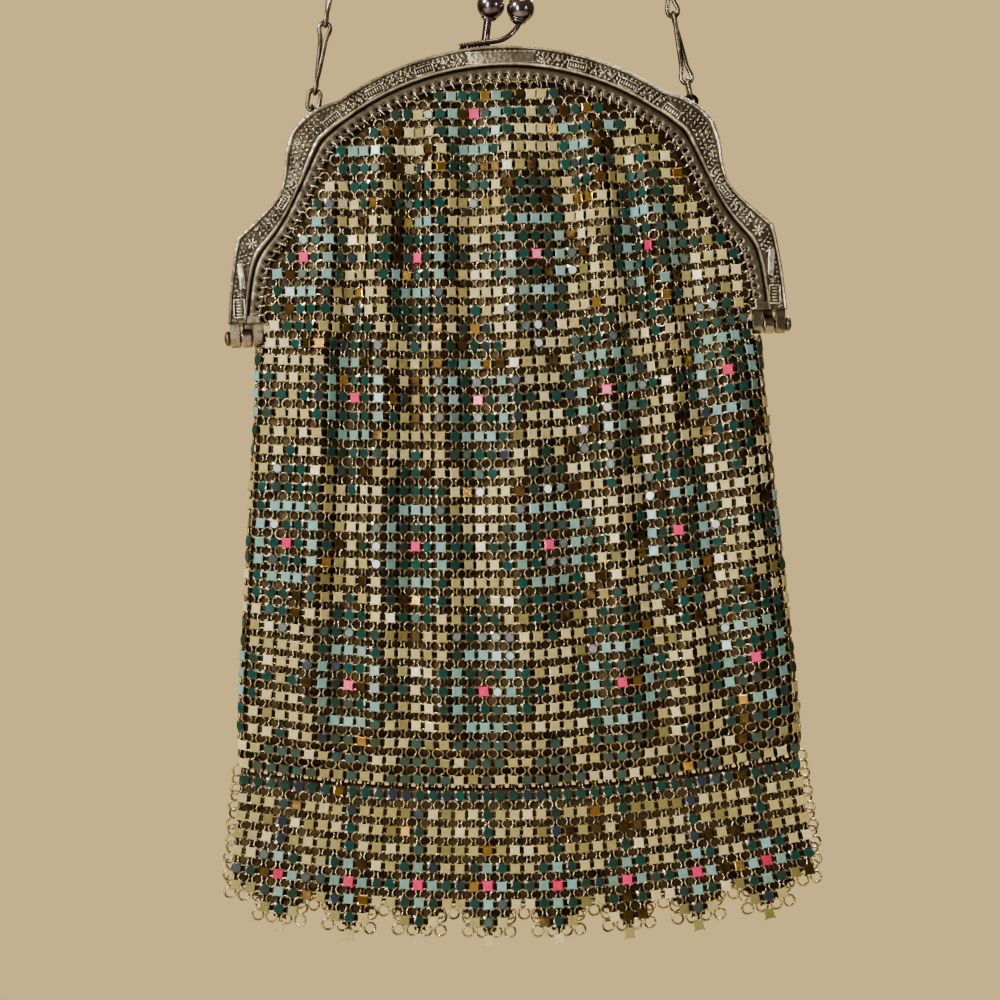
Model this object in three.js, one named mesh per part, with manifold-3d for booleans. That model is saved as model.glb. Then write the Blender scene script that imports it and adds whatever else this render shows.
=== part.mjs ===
// A frame purse of enamelled plate mesh, hanging closed from its chain.
// Millimetres, +Z up, the front faces -Y. The origin is the top of the chain, where the purse hangs.
// Two embossed half frames are hinged at their feet and shut with a pair of balls. The mesh bag is
// stitched to the holes in their flanges and ends in a seam, from which a double fringe with points hangs.
import * as THREE from "three";
import { mergeVertices } from "three/addons/utils/BufferGeometryUtils.js";
import Module from "manifold-3d";

const wasm = await Module();
wasm.setup();

// Frame. Heights without another word are measured from the hinge line.
const FRAME_HALF_WIDTH = 53.2;
const FRAME_HEIGHT = 54.1;
const ARCH_RADIUS = 55;
const BAND_WIDTH = 3.8;
const FLANGE_WIDTH = 2.6;
const FRAME_DEPTH = 4.3; // of one half, from the parting plane
const RIM_WALL = 1.1; // the outer wall of the channel
const FACE_WALL = 1.2; // the embossed band's thickness
const FLANGE_WALL = 0.8;
const RELIEF_HEIGHT = 0.4;
const HOLE_RADIUS = 0.55;
const HOLE_PITCH = 4.1; // every second hole of the real flange
const CLEARANCE = 0.3; // between two pieces that touch

// Hinges
const BARREL_RADIUS = 1.8;
const BARREL_LENGTH = 6.3;
const PIN_RADIUS = 0.8;
const PIN_HEAD_RADIUS = 1.45;
const PIN_HEAD_LENGTH = 1;

// Clasp
const BALL_RADIUS = 2.7;
const BALL_RISE = 8.3; // of the balls' centres above the crown
const CLASP_WIRE_RADIUS = 0.55;
const PEG_RADIUS = 0.45;
const STALK_RADIUS = 0.8;

// Chain
const EYE_X = 36.4;
const EYE_RADIUS = 1.55; // outer
const EYE_WIRE = 0.8;
const CHAIN_WIRE = 0.9;
const LINK_LENGTH = 14.8;
const LINK_EYE_WIDTH = 3;
const RING_LENGTH = 5;
const RING_WIDTH = 3.2;
const STRAIGHT_LINKS = 9; // on each side of the three links that bend over the rest
const BEND_DEGREES = 50; // the slope of the links beside the topmost one
const FUSE = 0.1; // how far a link is set into its neighbour

// Mesh bag
const BAG_HALF_WIDTH = 53.9;
const BAG_DROP = 87.5; // from the hinge line to the middle of the seam
const BAG_HALF_DEPTH = 5;
const SEAM_RISE = 4.7; // of the seam towards the sides
const MESH_WALL = 1.2;
const FOLD_DEPTH = 2;
const SIDE_ROUND = 8;
const GATHER = 14; // how far in from the frame the mesh takes its full depth

// Fringe
const FRINGE_DROP = 29.5; // from the seam to a point
const FRINGE_HALF_WIDTH = 56;
const FRINGE_WALL = 1;
const FRINGE_FLARE = 2.4; // how far the points stand off the middle plane
const POINTS = 8;
const POINT_DROP = 11;

// The frame's side below its round arch, from the foot up: for the outer edge, the ridge between band and
// flange, and the inner edge, a share of FRAME_HALF_WIDTH and a share of FRAME_HEIGHT.
const FRAME_SIDE = [
  { place: "foot", outer: [1, 0.048], ridge: [0.932, 0.048], inner: [0.885, 0.048] },
  { place: "leg", outer: [0.987, 0.185], ridge: [0.915, 0.185], inner: [0.864, 0.174] },
  { place: "leg top", outer: [0.97, 0.294], ridge: [0.896, 0.262], inner: [0.847, 0.244] },
  { place: "lower corner", outer: [0.958, 0.349], ridge: [0.873, 0.303], inner: [0.826, 0.283] },
  { place: "throat", outer: [0.888, 0.41], ridge: [0.82, 0.366], inner: [0.779, 0.342] },
  { place: "throat", outer: [0.839, 0.455], ridge: [0.781, 0.425], inner: [0.737, 0.407] },
  { place: "throat", outer: [0.803, 0.503], ridge: [0.749, 0.486], inner: [0.705, 0.468] },
  { place: "throat", outer: [0.786, 0.564], ridge: [0.718, 0.547], inner: [0.675, 0.529] },
  { place: "neck", outer: [0.777, 0.647], ridge: [0.688, 0.61], inner: [0.647, 0.588] },
  { place: "shoulder", outer: [0.757, 0.715], ridge: [0.652, 0.68], inner: [0.612, 0.652] },
  { place: "shoulder", outer: [0.714, 0.762], ridge: [0.624, 0.706], inner: [0.586, 0.675] },
  { place: "arch foot", outer: [0.656, 0.8], ridge: [0.586, 0.737], inner: [0.554, 0.701] },
];
const ARCH_START_DEGREES = 34.3; // from the crown, where the plain round arch begins
const ARCH_STEPS = 10;

// The channel's section: across is 0 at the outer edge, 1 at the ridge and 2 at the inner edge, and
// depth is a share of FRAME_DEPTH from the parting plane.
const CHANNEL = [
  { across: 0, depth: 0 },
  { across: 0, depth: 1 },
  { across: 0.28, depth: 0.91 },
  { across: 0.84, depth: 0.91 },
  { across: 0.95, depth: 1 },
  { across: 1.12, depth: 0.82 },
  { across: 2, depth: 0.82 },
];

// Raised ornament on the arch: how far it lies from the crown, and its length and width as shares of
// the band's width. A panel is a bar, a rose is a low six-sided boss.
const ARCH_RELIEF = [
  { shape: "rose", degrees: 10.3, length: 0.56 },
  { shape: "panel", degrees: 16.4, length: 0.95, width: 0.42 },
  { shape: "rose", degrees: 21.8, length: 0.56 },
  { shape: "panel", degrees: 27.6, length: 0.85, width: 0.42 },
  { shape: "rose", degrees: 33.6, length: 0.56 },
];
const CARTOUCHE_LENGTH = 13;
const CARTOUCHE_WIDTH = 1.7;

// Raised ornament on the frame's side, placed as FRAME_SIDE is, with its length and width as shares of
// the band's width and its turn from upright.
const SIDE_RELIEF = [
  { shape: "panel", x: 0.687, z: 0.712, length: 0.85, width: 0.42, turn: 53 },
  { shape: "rose", x: 0.735, z: 0.63, length: 0.5 },
  { shape: "panel", x: 0.79, z: 0.47, length: 0.95, width: 0.36, turn: 32 },
  { shape: "rose", x: 0.907, z: 0.331, length: 0.7 },
  { shape: "panel", x: 0.944, z: 0.214, length: 1.25, width: 0.34, turn: 4 },
  { shape: "panel", x: 0.957, z: 0.105, length: 0.75, width: 0.5, turn: 0 },
];

// The bag's levels: height is a share of FRAME_HEIGHT above the hinge line and of BAG_DROP below it,
// and the others are shares of BAG_HALF_WIDTH, BAG_HALF_DEPTH and FOLD_DEPTH.
const BAG_LEVELS = [
  { height: 0.9, width: 0.822, depth: 0.82, fold: 1 },
  { height: 0.37, width: 0.865, depth: 0.9, fold: 0.95 },
  { height: 0, width: 0.892, depth: 0.95, fold: 0.9 },
  { height: -0.15, width: 0.903, depth: 0.97, fold: 0.85 },
  { height: -0.47, width: 0.943, depth: 1, fold: 0.75 },
  { height: -0.78, width: 0.982, depth: 0.95, fold: 0.55 },
  { height: -0.9, width: 0.995, depth: 0.7, fold: 0.35 },
  { height: -1, width: 1, depth: 0.1, fold: 0 },
];
const BAG_ROWS = [0.92, 0.72, 0.54, 0.36, 0.16, -0.06, -0.3, -0.54, -0.76, -0.88, -0.95, -1];

// Where the mesh folds out (1) and in (-1), across the bag as a share of its half width.
const FOLDS = [
  { across: -1, out: 0 },
  { across: -0.88, out: -0.7 },
  { across: -0.74, out: 1 },
  { across: -0.63, out: -1 },
  { across: -0.5, out: 1 },
  { across: -0.38, out: -1 },
  { across: -0.27, out: 0.9 },
  { across: -0.136, out: -0.8 },
  { across: 0.034, out: 0.9 },
  { across: 0.26, out: -1 },
  { across: 0.396, out: 1 },
  { across: 0.51, out: -1 },
  { across: 0.62, out: 1 },
  { across: 0.74, out: -0.9 },
  { across: 0.88, out: 0.8 },
  { across: 1, out: 0 },
];

const MATERIALS = {
  frame: new THREE.MeshStandardMaterial({ color: 0x8d8674, roughness: 0.42, metalness: 1 }),
  pin: new THREE.MeshStandardMaterial({ color: 0x77705f, roughness: 0.4, metalness: 1 }),
  clasp: new THREE.MeshStandardMaterial({ color: 0x7b7378, roughness: 0.22, metalness: 1 }),
  chain: new THREE.MeshStandardMaterial({ color: 0x84785a, roughness: 0.35, metalness: 1 }),
  mesh: new THREE.MeshStandardMaterial({ color: 0x55716a, roughness: 0.45, metalness: 0.4 }),
};

const point = (x, y, z) => new THREE.Vector3(x, y, z);

function geometryOf(points, triangles) {
  const geometry = new THREE.BufferGeometry();
  geometry.setFromPoints(points);
  geometry.setIndex(triangles);
  return geometry;
}

function solidOf(geometry) {
  const bare = geometry.clone();
  bare.deleteAttribute("normal");
  bare.deleteAttribute("uv");
  const merged = mergeVertices(bare, 1e-4);
  const vertProperties = new Float32Array(merged.attributes.position.array);
  const triVerts = new Uint32Array(merged.index.array);
  const solid = new wasm.Manifold(new wasm.Mesh({ numProp: 3, vertProperties, triVerts }));
  if (solid.volume() > 0) return solid;
  const turned = triVerts.slice().reverse();
  return new wasm.Manifold(new wasm.Mesh({ numProp: 3, vertProperties, triVerts: turned }));
}

const joined = (solids) => solids.reduce((whole, solid) => whole.add(solid));

function named(name, solid, material) {
  const mesh = solid.getMesh();
  const geometry = new THREE.BufferGeometry();
  geometry.setAttribute("position", new THREE.BufferAttribute(mesh.vertProperties, 3));
  geometry.setIndex(new THREE.BufferAttribute(mesh.triVerts, 1));
  geometry.computeVertexNormals();
  const piece = new THREE.Mesh(geometry, material);
  piece.name = name;
  return piece;
}

// Skins a row of loops that each have as many points. The ends are capped unless the row closes.
function skin(loops, closes) {
  const size = loops[0].length;
  const triangles = [];
  const last = closes ? loops.length : loops.length - 1;
  for (let row = 0; row < last; row++) {
    const next = (row + 1) % loops.length;
    for (let i = 0; i < size; i++) {
      const j = (i + 1) % size;
      const [a, b, c, d] = [row * size + i, row * size + j, next * size + j, next * size + i];
      triangles.push(a, b, c, a, c, d);
    }
  }
  return { points: loops.flat(), triangles };
}

// A wire bent into a closed loop. The section turns with the direction from each point's centre.
function closedWire(points, centres, radius, sides) {
  const loops = points.map((place, i) => {
    const before = points[(i + points.length - 1) % points.length];
    const after = points[(i + 1) % points.length];
    const along = after.clone().sub(before).normalize();
    const out = place.clone().sub(centres[i]);
    out.addScaledVector(along, -out.dot(along)).normalize();
    const side = along.clone().cross(out);
    return Array.from({ length: sides }, (_, k) => {
      const angle = (2 * Math.PI * (k + 0.5)) / sides;
      return place
        .clone()
        .addScaledVector(out, radius * Math.cos(angle))
        .addScaledVector(side, radius * Math.sin(angle));
    });
  });
  const { points: all, triangles } = skin(loops, true);
  return solidOf(geometryOf(all, triangles));
}

// A round bar along the axis of Y, moved to its place.
function barAlongY(radiusFront, radiusBack, front, back, x, z, sides) {
  const bar = new THREE.CylinderGeometry(radiusBack, radiusFront, back - front, sides);
  bar.translate(x, (front + back) / 2, z);
  return solidOf(bar);
}

function barAlongX(radius, from, to, sides) {
  const bar = new THREE.CylinderGeometry(radius, radius, to - from, sides);
  bar.rotateZ(-Math.PI / 2);
  bar.translate((from + to) / 2, 0, 0);
  return solidOf(bar);
}

// The three edges of the half frame, station by station from the right foot to the left one.
const archCentre = FRAME_HEIGHT - ARCH_RADIUS;

function framePoint([x, z]) {
  return { x: x * FRAME_HALF_WIDTH, z: z * FRAME_HEIGHT };
}

function archPoint(radius, degrees) {
  const angle = THREE.MathUtils.degToRad(degrees);
  return { x: radius * Math.sin(angle), z: archCentre + radius * Math.cos(angle) };
}

function frameStations() {
  const right = FRAME_SIDE.map((row) => ({
    outer: framePoint(row.outer),
    ridge: framePoint(row.ridge),
    inner: framePoint(row.inner),
  }));
  const arch = [];
  for (let step = 0; step <= ARCH_STEPS; step++) {
    const degrees = ARCH_START_DEGREES * (1 - (2 * step) / ARCH_STEPS);
    arch.push({
      outer: archPoint(ARCH_RADIUS, degrees),
      ridge: archPoint(ARCH_RADIUS - BAND_WIDTH, degrees),
      inner: archPoint(ARCH_RADIUS - BAND_WIDTH - FLANGE_WIDTH, degrees),
    });
  }
  const flip = ({ x, z }) => ({ x: -x, z });
  const left = right
    .map(({ outer, ridge, inner }) => ({ outer: flip(outer), ridge: flip(ridge), inner: flip(inner) }))
    .reverse();
  return [...right, ...arch, ...left];
}

const stations = frameStations();
const between = (a, b, share) => ({ x: a.x + (b.x - a.x) * share, z: a.z + (b.z - a.z) * share });

function across({ outer, ridge, inner }, share) {
  return share <= 1 ? between(outer, ridge, share) : between(ridge, inner, share - 1);
}

// The channel of the front half, as one bent strip. The back of the section follows its front by the walls.
function channelSolid() {
  const rimShare = RIM_WALL / BAND_WIDTH;
  const flangeBack = 0.82 * FRAME_DEPTH - FLANGE_WALL;
  const section = [
    ...CHANNEL.map((row) => ({ across: row.across, y: -Math.max(row.depth * FRAME_DEPTH, CLEARANCE / 2) })),
    { across: 2, y: -flangeBack },
    { across: rimShare, y: -Math.min(flangeBack, 0.91 * FRAME_DEPTH - FACE_WALL) },
    { across: rimShare, y: -CLEARANCE / 2 },
  ];
  const loops = stations.map((station) =>
    section.map((corner) => {
      const { x, z } = across(station, corner.across);
      return point(x, corner.y, z);
    }),
  );
  const { points, triangles } = skin(loops, false);
  const flat = section.map((corner) => new THREE.Vector2(corner.across, corner.y / FRAME_DEPTH));
  const cap = THREE.ShapeUtils.triangulateShape(flat, []);
  const end = (loops.length - 1) * section.length;
  const capsFaceOut = cap.flatMap(([a, b, c]) => [c, b, a, end + a, end + b, end + c]);
  const turn = THREE.ShapeUtils.isClockWise(flat) ? capsFaceOut.slice().reverse() : capsFaceOut;
  return solidOf(geometryOf(points, [...triangles, ...turn]));
}

// Holes along the middle of the flange, an even pitch apart.
function flangeHoles() {
  const path = new THREE.CurvePath();
  const middle = stations.map((station) => across(station, 1.55));
  for (let i = 1; i < middle.length; i++) {
    const [a, b] = [middle[i - 1], middle[i]];
    path.add(new THREE.LineCurve3(point(a.x, 0, a.z), point(b.x, 0, b.z)));
  }
  const length = path.getLength();
  const count = Math.round(length / HOLE_PITCH);
  const holes = [];
  for (let i = 0; i < count; i++) {
    const { x, z } = path.getPointAt((i + 0.5) / count);
    holes.push(barAlongY(HOLE_RADIUS, HOLE_RADIUS, -FRAME_DEPTH - 1, -1, x, z, 5));
  }
  return joined(holes);
}

function reliefPiece({ shape, length, width }, place, turnDegrees) {
  const back = -0.91 * FRAME_DEPTH + FACE_WALL / 2;
  const front = -0.91 * FRAME_DEPTH - RELIEF_HEIGHT;
  if (shape === "rose") {
    const radius = (length * BAND_WIDTH) / 2;
    return barAlongY(radius * 0.6, radius, front, back, place.x, place.z, 6);
  }
  const bar = new THREE.BoxGeometry(width * BAND_WIDTH, back - front, length * BAND_WIDTH);
  bar.rotateY(THREE.MathUtils.degToRad(turnDegrees));
  bar.translate(place.x, (front + back) / 2, place.z);
  return solidOf(bar);
}

function reliefSolid() {
  const bandMiddle = ARCH_RADIUS - BAND_WIDTH * 0.57;
  const [length, width] = [CARTOUCHE_WIDTH / BAND_WIDTH, CARTOUCHE_LENGTH / BAND_WIDTH];
  const cartouche = { shape: "panel", length, width };
  const pieces = [reliefPiece(cartouche, archPoint(bandMiddle, 0), 0)];
  for (const side of [1, -1]) {
    for (const row of ARCH_RELIEF) {
      pieces.push(reliefPiece(row, archPoint(bandMiddle, side * row.degrees), side * (row.degrees - 90)));
    }
    for (const row of SIDE_RELIEF) {
      const place = framePoint([side * row.x, row.z]);
      pieces.push(reliefPiece(row, place, -side * (row.turn ?? 0)));
    }
  }
  return joined(pieces);
}

// The foot of a leg with its share of the hinge barrel: the outer knuckles or the middle one.
const barrelEnd = FRAME_HALF_WIDTH - 0.1;
const knuckle = (BARREL_LENGTH - 2 * CLEARANCE) / 3;
const footZ = framePoint(FRAME_SIDE[0].outer).z;

function knuckleSolids(numbers) {
  const pieces = [];
  const bore = barAlongX(PIN_RADIUS + CLEARANCE, barrelEnd - BARREL_LENGTH - 1, barrelEnd + 1, 8);
  for (const number of numbers) {
    const from = barrelEnd - BARREL_LENGTH + number * (knuckle + CLEARANCE);
    const web = new THREE.BoxGeometry(knuckle, BARREL_RADIUS - CLEARANCE / 2, footZ + 0.4);
    web.translate(from + knuckle / 2, -(BARREL_RADIUS + CLEARANCE / 2) / 2, (footZ + 0.4) / 2);
    pieces.push(barAlongX(BARREL_RADIUS, from, from + knuckle, 10).add(solidOf(web)).subtract(bore));
  }
  const inner = framePoint(FRAME_SIDE[0].inner).x;
  const depth = 0.9 * FRAME_DEPTH - CLEARANCE / 2;
  const block = new THREE.BoxGeometry(barrelEnd - inner - 0.2, depth, 1.6);
  block.translate((barrelEnd + inner) / 2, -CLEARANCE / 2 - depth / 2, footZ + 0.8);
  pieces.push(solidOf(block));
  return joined(pieces);
}

const mirrorX = (solid) => solid.mirror([1, 0, 0]);

function halfFrame(knuckles, pegX) {
  const foot = knuckleSolids(knuckles);
  const pegHole = new THREE.CylinderGeometry(PEG_RADIUS + CLEARANCE, PEG_RADIUS + CLEARANCE, 6, 8);
  pegHole.rotateX(Math.PI / 2);
  pegHole.translate(pegX, -claspDepth, FRAME_HEIGHT);
  return channelSolid()
    .add(reliefSolid())
    .subtract(flangeHoles())
    .subtract(solidOf(pegHole))
    .add(foot)
    .add(mirrorX(foot));
}

// The clasp's wires stand on the rim, in the middle of its depth.
const claspDepth = FRAME_DEPTH / 2;
const FRONT_PEG_X = -6.3;
const BACK_PEG_X = -3.1;
const rimHeight = (x) => archCentre + Math.sqrt(ARCH_RADIUS ** 2 - x ** 2);

function peg(x, y, top) {
  const bottom = rimHeight(x) - RIM_WALL - 0.3;
  const bar = new THREE.CylinderGeometry(PEG_RADIUS, PEG_RADIUS, top - bottom, 8);
  bar.rotateX(Math.PI / 2);
  bar.translate(x, y, (top + bottom) / 2);
  return solidOf(bar);
}

function ballWithCollar(x, y, z, down) {
  const ball = new THREE.SphereGeometry(BALL_RADIUS, 12, 7);
  ball.rotateX(Math.PI / 2);
  const collar = new THREE.CylinderGeometry(BALL_RADIUS * 0.6, BALL_RADIUS * 0.6, BALL_RADIUS * 0.35, 10);
  collar.rotateX(Math.PI / 2);
  collar.translate(0, 0, -BALL_RADIUS * 0.9);
  const tilt = new THREE.Matrix4().makeRotationFromQuaternion(
    new THREE.Quaternion().setFromUnitVectors(point(0, 0, -1), down.clone().normalize()),
  );
  for (const piece of [ball, collar]) {
    piece.applyMatrix4(tilt);
    piece.translate(x, y, z);
  }
  return solidOf(ball).add(solidOf(collar));
}

function wireAlong(points, radius, sides, steps) {
  const section = new THREE.Shape();
  section.setFromPoints(
    Array.from({ length: sides }, (_, i) => {
      const angle = (2 * Math.PI * i) / sides;
      return new THREE.Vector2(radius * Math.cos(angle), radius * Math.sin(angle));
    }),
  );
  const path = new THREE.CatmullRomCurve3(points);
  return solidOf(new THREE.ExtrudeGeometry(section, { steps, bevelEnabled: false, extrudePath: path }));
}

const BALL_SIDE = BALL_RADIUS + 0.15; // each ball's centre from the clasp's middle
const ballHeight = FRAME_HEIGHT + BALL_RISE;
const CLASP_MIDDLE_X = 1.25;

function claspFront() {
  const [x, y, z] = [CLASP_MIDDLE_X + BALL_SIDE, -BALL_RADIUS * 0.1, ballHeight - BALL_RADIUS * 0.25];
  const lie = CLASP_WIRE_RADIUS + CLEARANCE;
  const wire = wireAlong(
    [
      point(-7.9, -claspDepth, rimHeight(-7.9) + lie),
      point(-3.5, -claspDepth, rimHeight(-3.5) + lie + 0.15),
      point(0.6, -claspDepth * 0.85, rimHeight(0.6) + lie + 0.75),
      point(x - 0.9, -claspDepth * 0.5, z - BALL_RADIUS - 1.1),
      point(x, y, z - BALL_RADIUS * 0.6),
    ],
    CLASP_WIRE_RADIUS,
    6,
    10,
  );
  return wire
    .add(ballWithCollar(x, y, z, point(-0.25, -0.2, -1)))
    .add(peg(FRONT_PEG_X, -claspDepth, rimHeight(FRONT_PEG_X) + lie));
}

function claspBack() {
  const [x, y, z] = [CLASP_MIDDLE_X - BALL_SIDE, BALL_RADIUS * 0.1, ballHeight + BALL_RADIUS * 0.08];
  const seat = rimHeight(BACK_PEG_X) + CLEARANCE;
  const down = point(BACK_PEG_X - x, claspDepth - y, seat - z);
  const ends = [point(BACK_PEG_X, claspDepth, seat), point(x, y, z - BALL_RADIUS * 0.6)];
  const stalk = wireAlong(ends, STALK_RADIUS, 8, 1);
  const foot = new THREE.CylinderGeometry(STALK_RADIUS * 1.2, STALK_RADIUS * 1.7, 0.8, 10);
  foot.rotateX(Math.PI / 2);
  foot.translate(BACK_PEG_X, claspDepth, seat + 0.4);
  return stalk
    .add(solidOf(foot))
    .add(ballWithCollar(x, y, z, down))
    .add(peg(BACK_PEG_X, claspDepth, seat + 0.4));
}

function hingePin() {
  const inner = barrelEnd - BARREL_LENGTH;
  const head = PIN_HEAD_RADIUS;
  const profile = [
    [0, inner - 0.8],
    [head * 0.75, inner - 0.8],
    [head * 0.85, inner - CLEARANCE],
    [PIN_RADIUS, inner - CLEARANCE],
    [PIN_RADIUS, barrelEnd + CLEARANCE],
    [head, barrelEnd + CLEARANCE],
    [head, barrelEnd + CLEARANCE + PIN_HEAD_LENGTH * 0.4],
    [head * 0.65, barrelEnd + CLEARANCE + PIN_HEAD_LENGTH * 0.85],
    [0, barrelEnd + CLEARANCE + PIN_HEAD_LENGTH],
  ].map(([radius, x]) => new THREE.Vector2(radius, x));
  const pin = new THREE.LatheGeometry(profile, 8);
  pin.rotateZ(-Math.PI / 2);
  return solidOf(pin);
}

// The fixed rings that carry the chain, soldered to the back half's shoulders.
const chainDepth = FRAME_DEPTH * 0.4;

function shoulderHeight() {
  const outer = stations.map((station) => station.outer);
  for (let i = 1; i < outer.length; i++) {
    const [a, b] = [outer[i - 1], outer[i]];
    if (a.x >= EYE_X && b.x <= EYE_X) return between(a, b, (a.x - EYE_X) / (a.x - b.x)).z;
  }
  return FRAME_HEIGHT;
}

const EYE_SINK = 0.6; // how far the eye is let into its base and the rim
const eyeZ = shoulderHeight() + EYE_RADIUS - EYE_SINK;

// A ring of wire in the plane of its two directions, drawn out to a length and a width between wire centres.
function ring(centre, lengthways, widthways, length, width, radius, sides, steps) {
  const points = [];
  const centres = [];
  for (let i = 0; i < steps; i++) {
    const angle = (2 * Math.PI * i) / steps;
    const stretch = ((length - width) / 2) * Math.sign(Math.round(Math.cos(angle) * 1e6));
    const middle = centre.clone().addScaledVector(lengthways, stretch);
    const place = middle
      .clone()
      .addScaledVector(lengthways, (width / 2) * Math.cos(angle))
      .addScaledVector(widthways, (width / 2) * Math.sin(angle));
    points.push(place);
    centres.push(middle);
  }
  return closedWire(points, centres, radius, sides);
}

function chainEye(side, widthways) {
  const wire = EYE_WIRE / 2;
  const centre = point(side * EYE_X, chainDepth, eyeZ);
  const width = 2 * EYE_RADIUS - EYE_WIRE;
  const base = new THREE.CylinderGeometry(EYE_WIRE * 0.8, EYE_WIRE * 1.7, EYE_RADIUS, 8);
  base.rotateX(Math.PI / 2);
  base.translate(side * EYE_X, chainDepth, eyeZ - EYE_RADIUS + EYE_SINK / 2);
  return ring(centre, point(0, 0, 1), widthways, width, width, wire, 6, 12).add(solidOf(base));
}

// The chain's route: the joints between its links, from the left eye over the rest to the right eye.
const linkPitch = LINK_LENGTH - 2 * CHAIN_WIRE + FUSE;
const ringPitch = RING_LENGTH - 2 * CHAIN_WIRE + FUSE;

function chainRoute() {
  const bend = THREE.MathUtils.degToRad(BEND_DEGREES);
  const top = { x: linkPitch / 2, z: 0 };
  const shoulder = { x: top.x + linkPitch * Math.cos(bend), z: -linkPitch * Math.sin(bend) };
  const run = STRAIGHT_LINKS * linkPitch + ringPitch;
  const spread = EYE_X - shoulder.x;
  const fall = Math.sqrt(run ** 2 - spread ** 2 - chainDepth ** 2);
  const eyeTop = { x: EYE_X, z: shoulder.z - fall };
  const side = [top, shoulder];
  for (let i = 1; i <= STRAIGHT_LINKS; i++) side.push(between(shoulder, eyeTop, (i * linkPitch) / run));
  side.push(eyeTop);
  return side;
}

const route = chainRoute();
const eyeTopHeight = eyeZ + EYE_RADIUS - EYE_WIRE / 2 - (EYE_WIRE + CHAIN_WIRE) / 2 - CLEARANCE;
// The chain hangs free in the eyes: the hinge line lies this far below the top of the chain.
const hingeDrop = eyeTopHeight - route[route.length - 1].z + CHAIN_WIRE / 2 + CLEARANCE;

// A long link of one wire: an eye at each end, and between them two strands with a quarter turn of twist.
const LINK_SHAPE = [
  { from: 0.45, half: 0.75, turn: 0 },
  { from: 1.5, half: 1, turn: 0 },
  { from: 3.4, half: 0.44, turn: 0.15 },
];

function linkSolid(start, finish, startSide) {
  const along = finish.clone().sub(start).normalize();
  const middle = start.clone().add(finish).multiplyScalar(0.5);
  const first = startSide.clone().addScaledVector(along, -startSide.dot(along)).normalize();
  const second = along.clone().cross(first);
  const reach = (LINK_LENGTH - CHAIN_WIRE) / 2;
  const eyeHalf = (LINK_EYE_WIDTH - CHAIN_WIRE) / 2;
  const rows = [
    ...LINK_SHAPE.map(({ from, half, turn }) => ({ at: from - reach, half: half * eyeHalf, turn })),
  ];
  rows.push(...rows.map(({ at, half, turn }) => ({ at: -at, half, turn: 1 - turn })).reverse());
  const strand = (sign) =>
    rows.map(({ at, half, turn }) => {
      const angle = (turn * Math.PI) / 2;
      return middle
        .clone()
        .addScaledVector(along, at)
        .addScaledVector(first, sign * half * Math.cos(angle))
        .addScaledVector(second, sign * half * Math.sin(angle));
    });
  const tip = (sign) => middle.clone().addScaledVector(along, sign * reach);
  const points = [tip(-1), ...strand(1), tip(1), ...strand(-1).reverse()];
  const centreReach = reach - eyeHalf;
  const centres = points.map((place) => {
    const at = place.clone().sub(middle).dot(along);
    return middle.clone().addScaledVector(along, THREE.MathUtils.clamp(at, -centreReach, centreReach));
  });
  return closedWire(points, centres, CHAIN_WIRE / 2, 5);
}

function chainSolid() {
  const lift = (place, side) => {
    const share = THREE.MathUtils.clamp(place.z / route[route.length - 1].z, 0, 1);
    return point(side * place.x, chainDepth * share, place.z);
  };
  const sides = [-1, 1].map((side) => route.map((place) => lift(place, side)));
  const joints = [...sides[0].reverse(), ...sides[1]];
  const pieces = [];
  for (let i = 1; i < joints.length; i++) {
    const [start, finish] = [joints[i - 1], joints[i]];
    const isRing = i === 1 || i === joints.length - 1;
    if (!isRing) {
      pieces.push(linkSolid(start, finish, point(0, 1, 0)));
      continue;
    }
    const along = finish.clone().sub(start).normalize();
    const centre = start.clone().add(finish).multiplyScalar(0.5);
    const flat = i === 1 ? point(0, 0, 1).cross(point(0, 1, 0)) : point(0, 1, 0);
    const widthways = flat.addScaledVector(along, -flat.dot(along)).normalize();
    const [length, width] = [RING_LENGTH - CHAIN_WIRE, RING_WIDTH - CHAIN_WIRE];
    pieces.push(ring(centre, along, widthways, length, width, CHAIN_WIRE / 2, 5, 12));
  }
  return joined(pieces);
}

// The mesh bag's surface
const smooth = (low, high, value) => THREE.MathUtils.smoothstep(value, low, high);

function alongTable(rows, key, position, value) {
  const last = rows.length - 1;
  const sign = Math.sign(rows[last][key] - rows[0][key]);
  let i = 1;
  while (i < last && sign * position > sign * rows[i][key]) i++;
  const [a, b] = [rows[i - 1], rows[i]];
  const share = THREE.MathUtils.clamp((position - a[key]) / (b[key] - a[key]), 0, 1);
  return a[value] + (b[value] - a[value]) * share;
}

function foldOut(share) {
  let i = 1;
  while (i < FOLDS.length - 1 && share > FOLDS[i].across) i++;
  const [a, b] = [FOLDS[i - 1], FOLDS[i]];
  const part = THREE.MathUtils.clamp((share - a.across) / (b.across - a.across), 0, 1);
  return a.out + ((b.out - a.out) * (1 - Math.cos(Math.PI * part))) / 2;
}

const seamZ = (share) => -BAG_DROP + SEAM_RISE * share ** 2;
const levelZ = (level, share) => (level > 0 ? level * FRAME_HEIGHT : -level * seamZ(share));

function edgeDistance(x, z) {
  let nearest = Infinity;
  const place = new THREE.Vector3(x, 0, z);
  const closest = new THREE.Vector3();
  for (let i = 1; i < stations.length; i++) {
    const [a, b] = [stations[i - 1].inner, stations[i].inner];
    const line = new THREE.Line3(point(a.x, 0, a.z), point(b.x, 0, b.z));
    line.closestPointToPoint(place, true, closest);
    nearest = Math.min(nearest, closest.distanceTo(place));
  }
  return nearest;
}

const edgeDepth = FRAME_DEPTH * 0.82 - FLANGE_WALL / 2;

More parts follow.
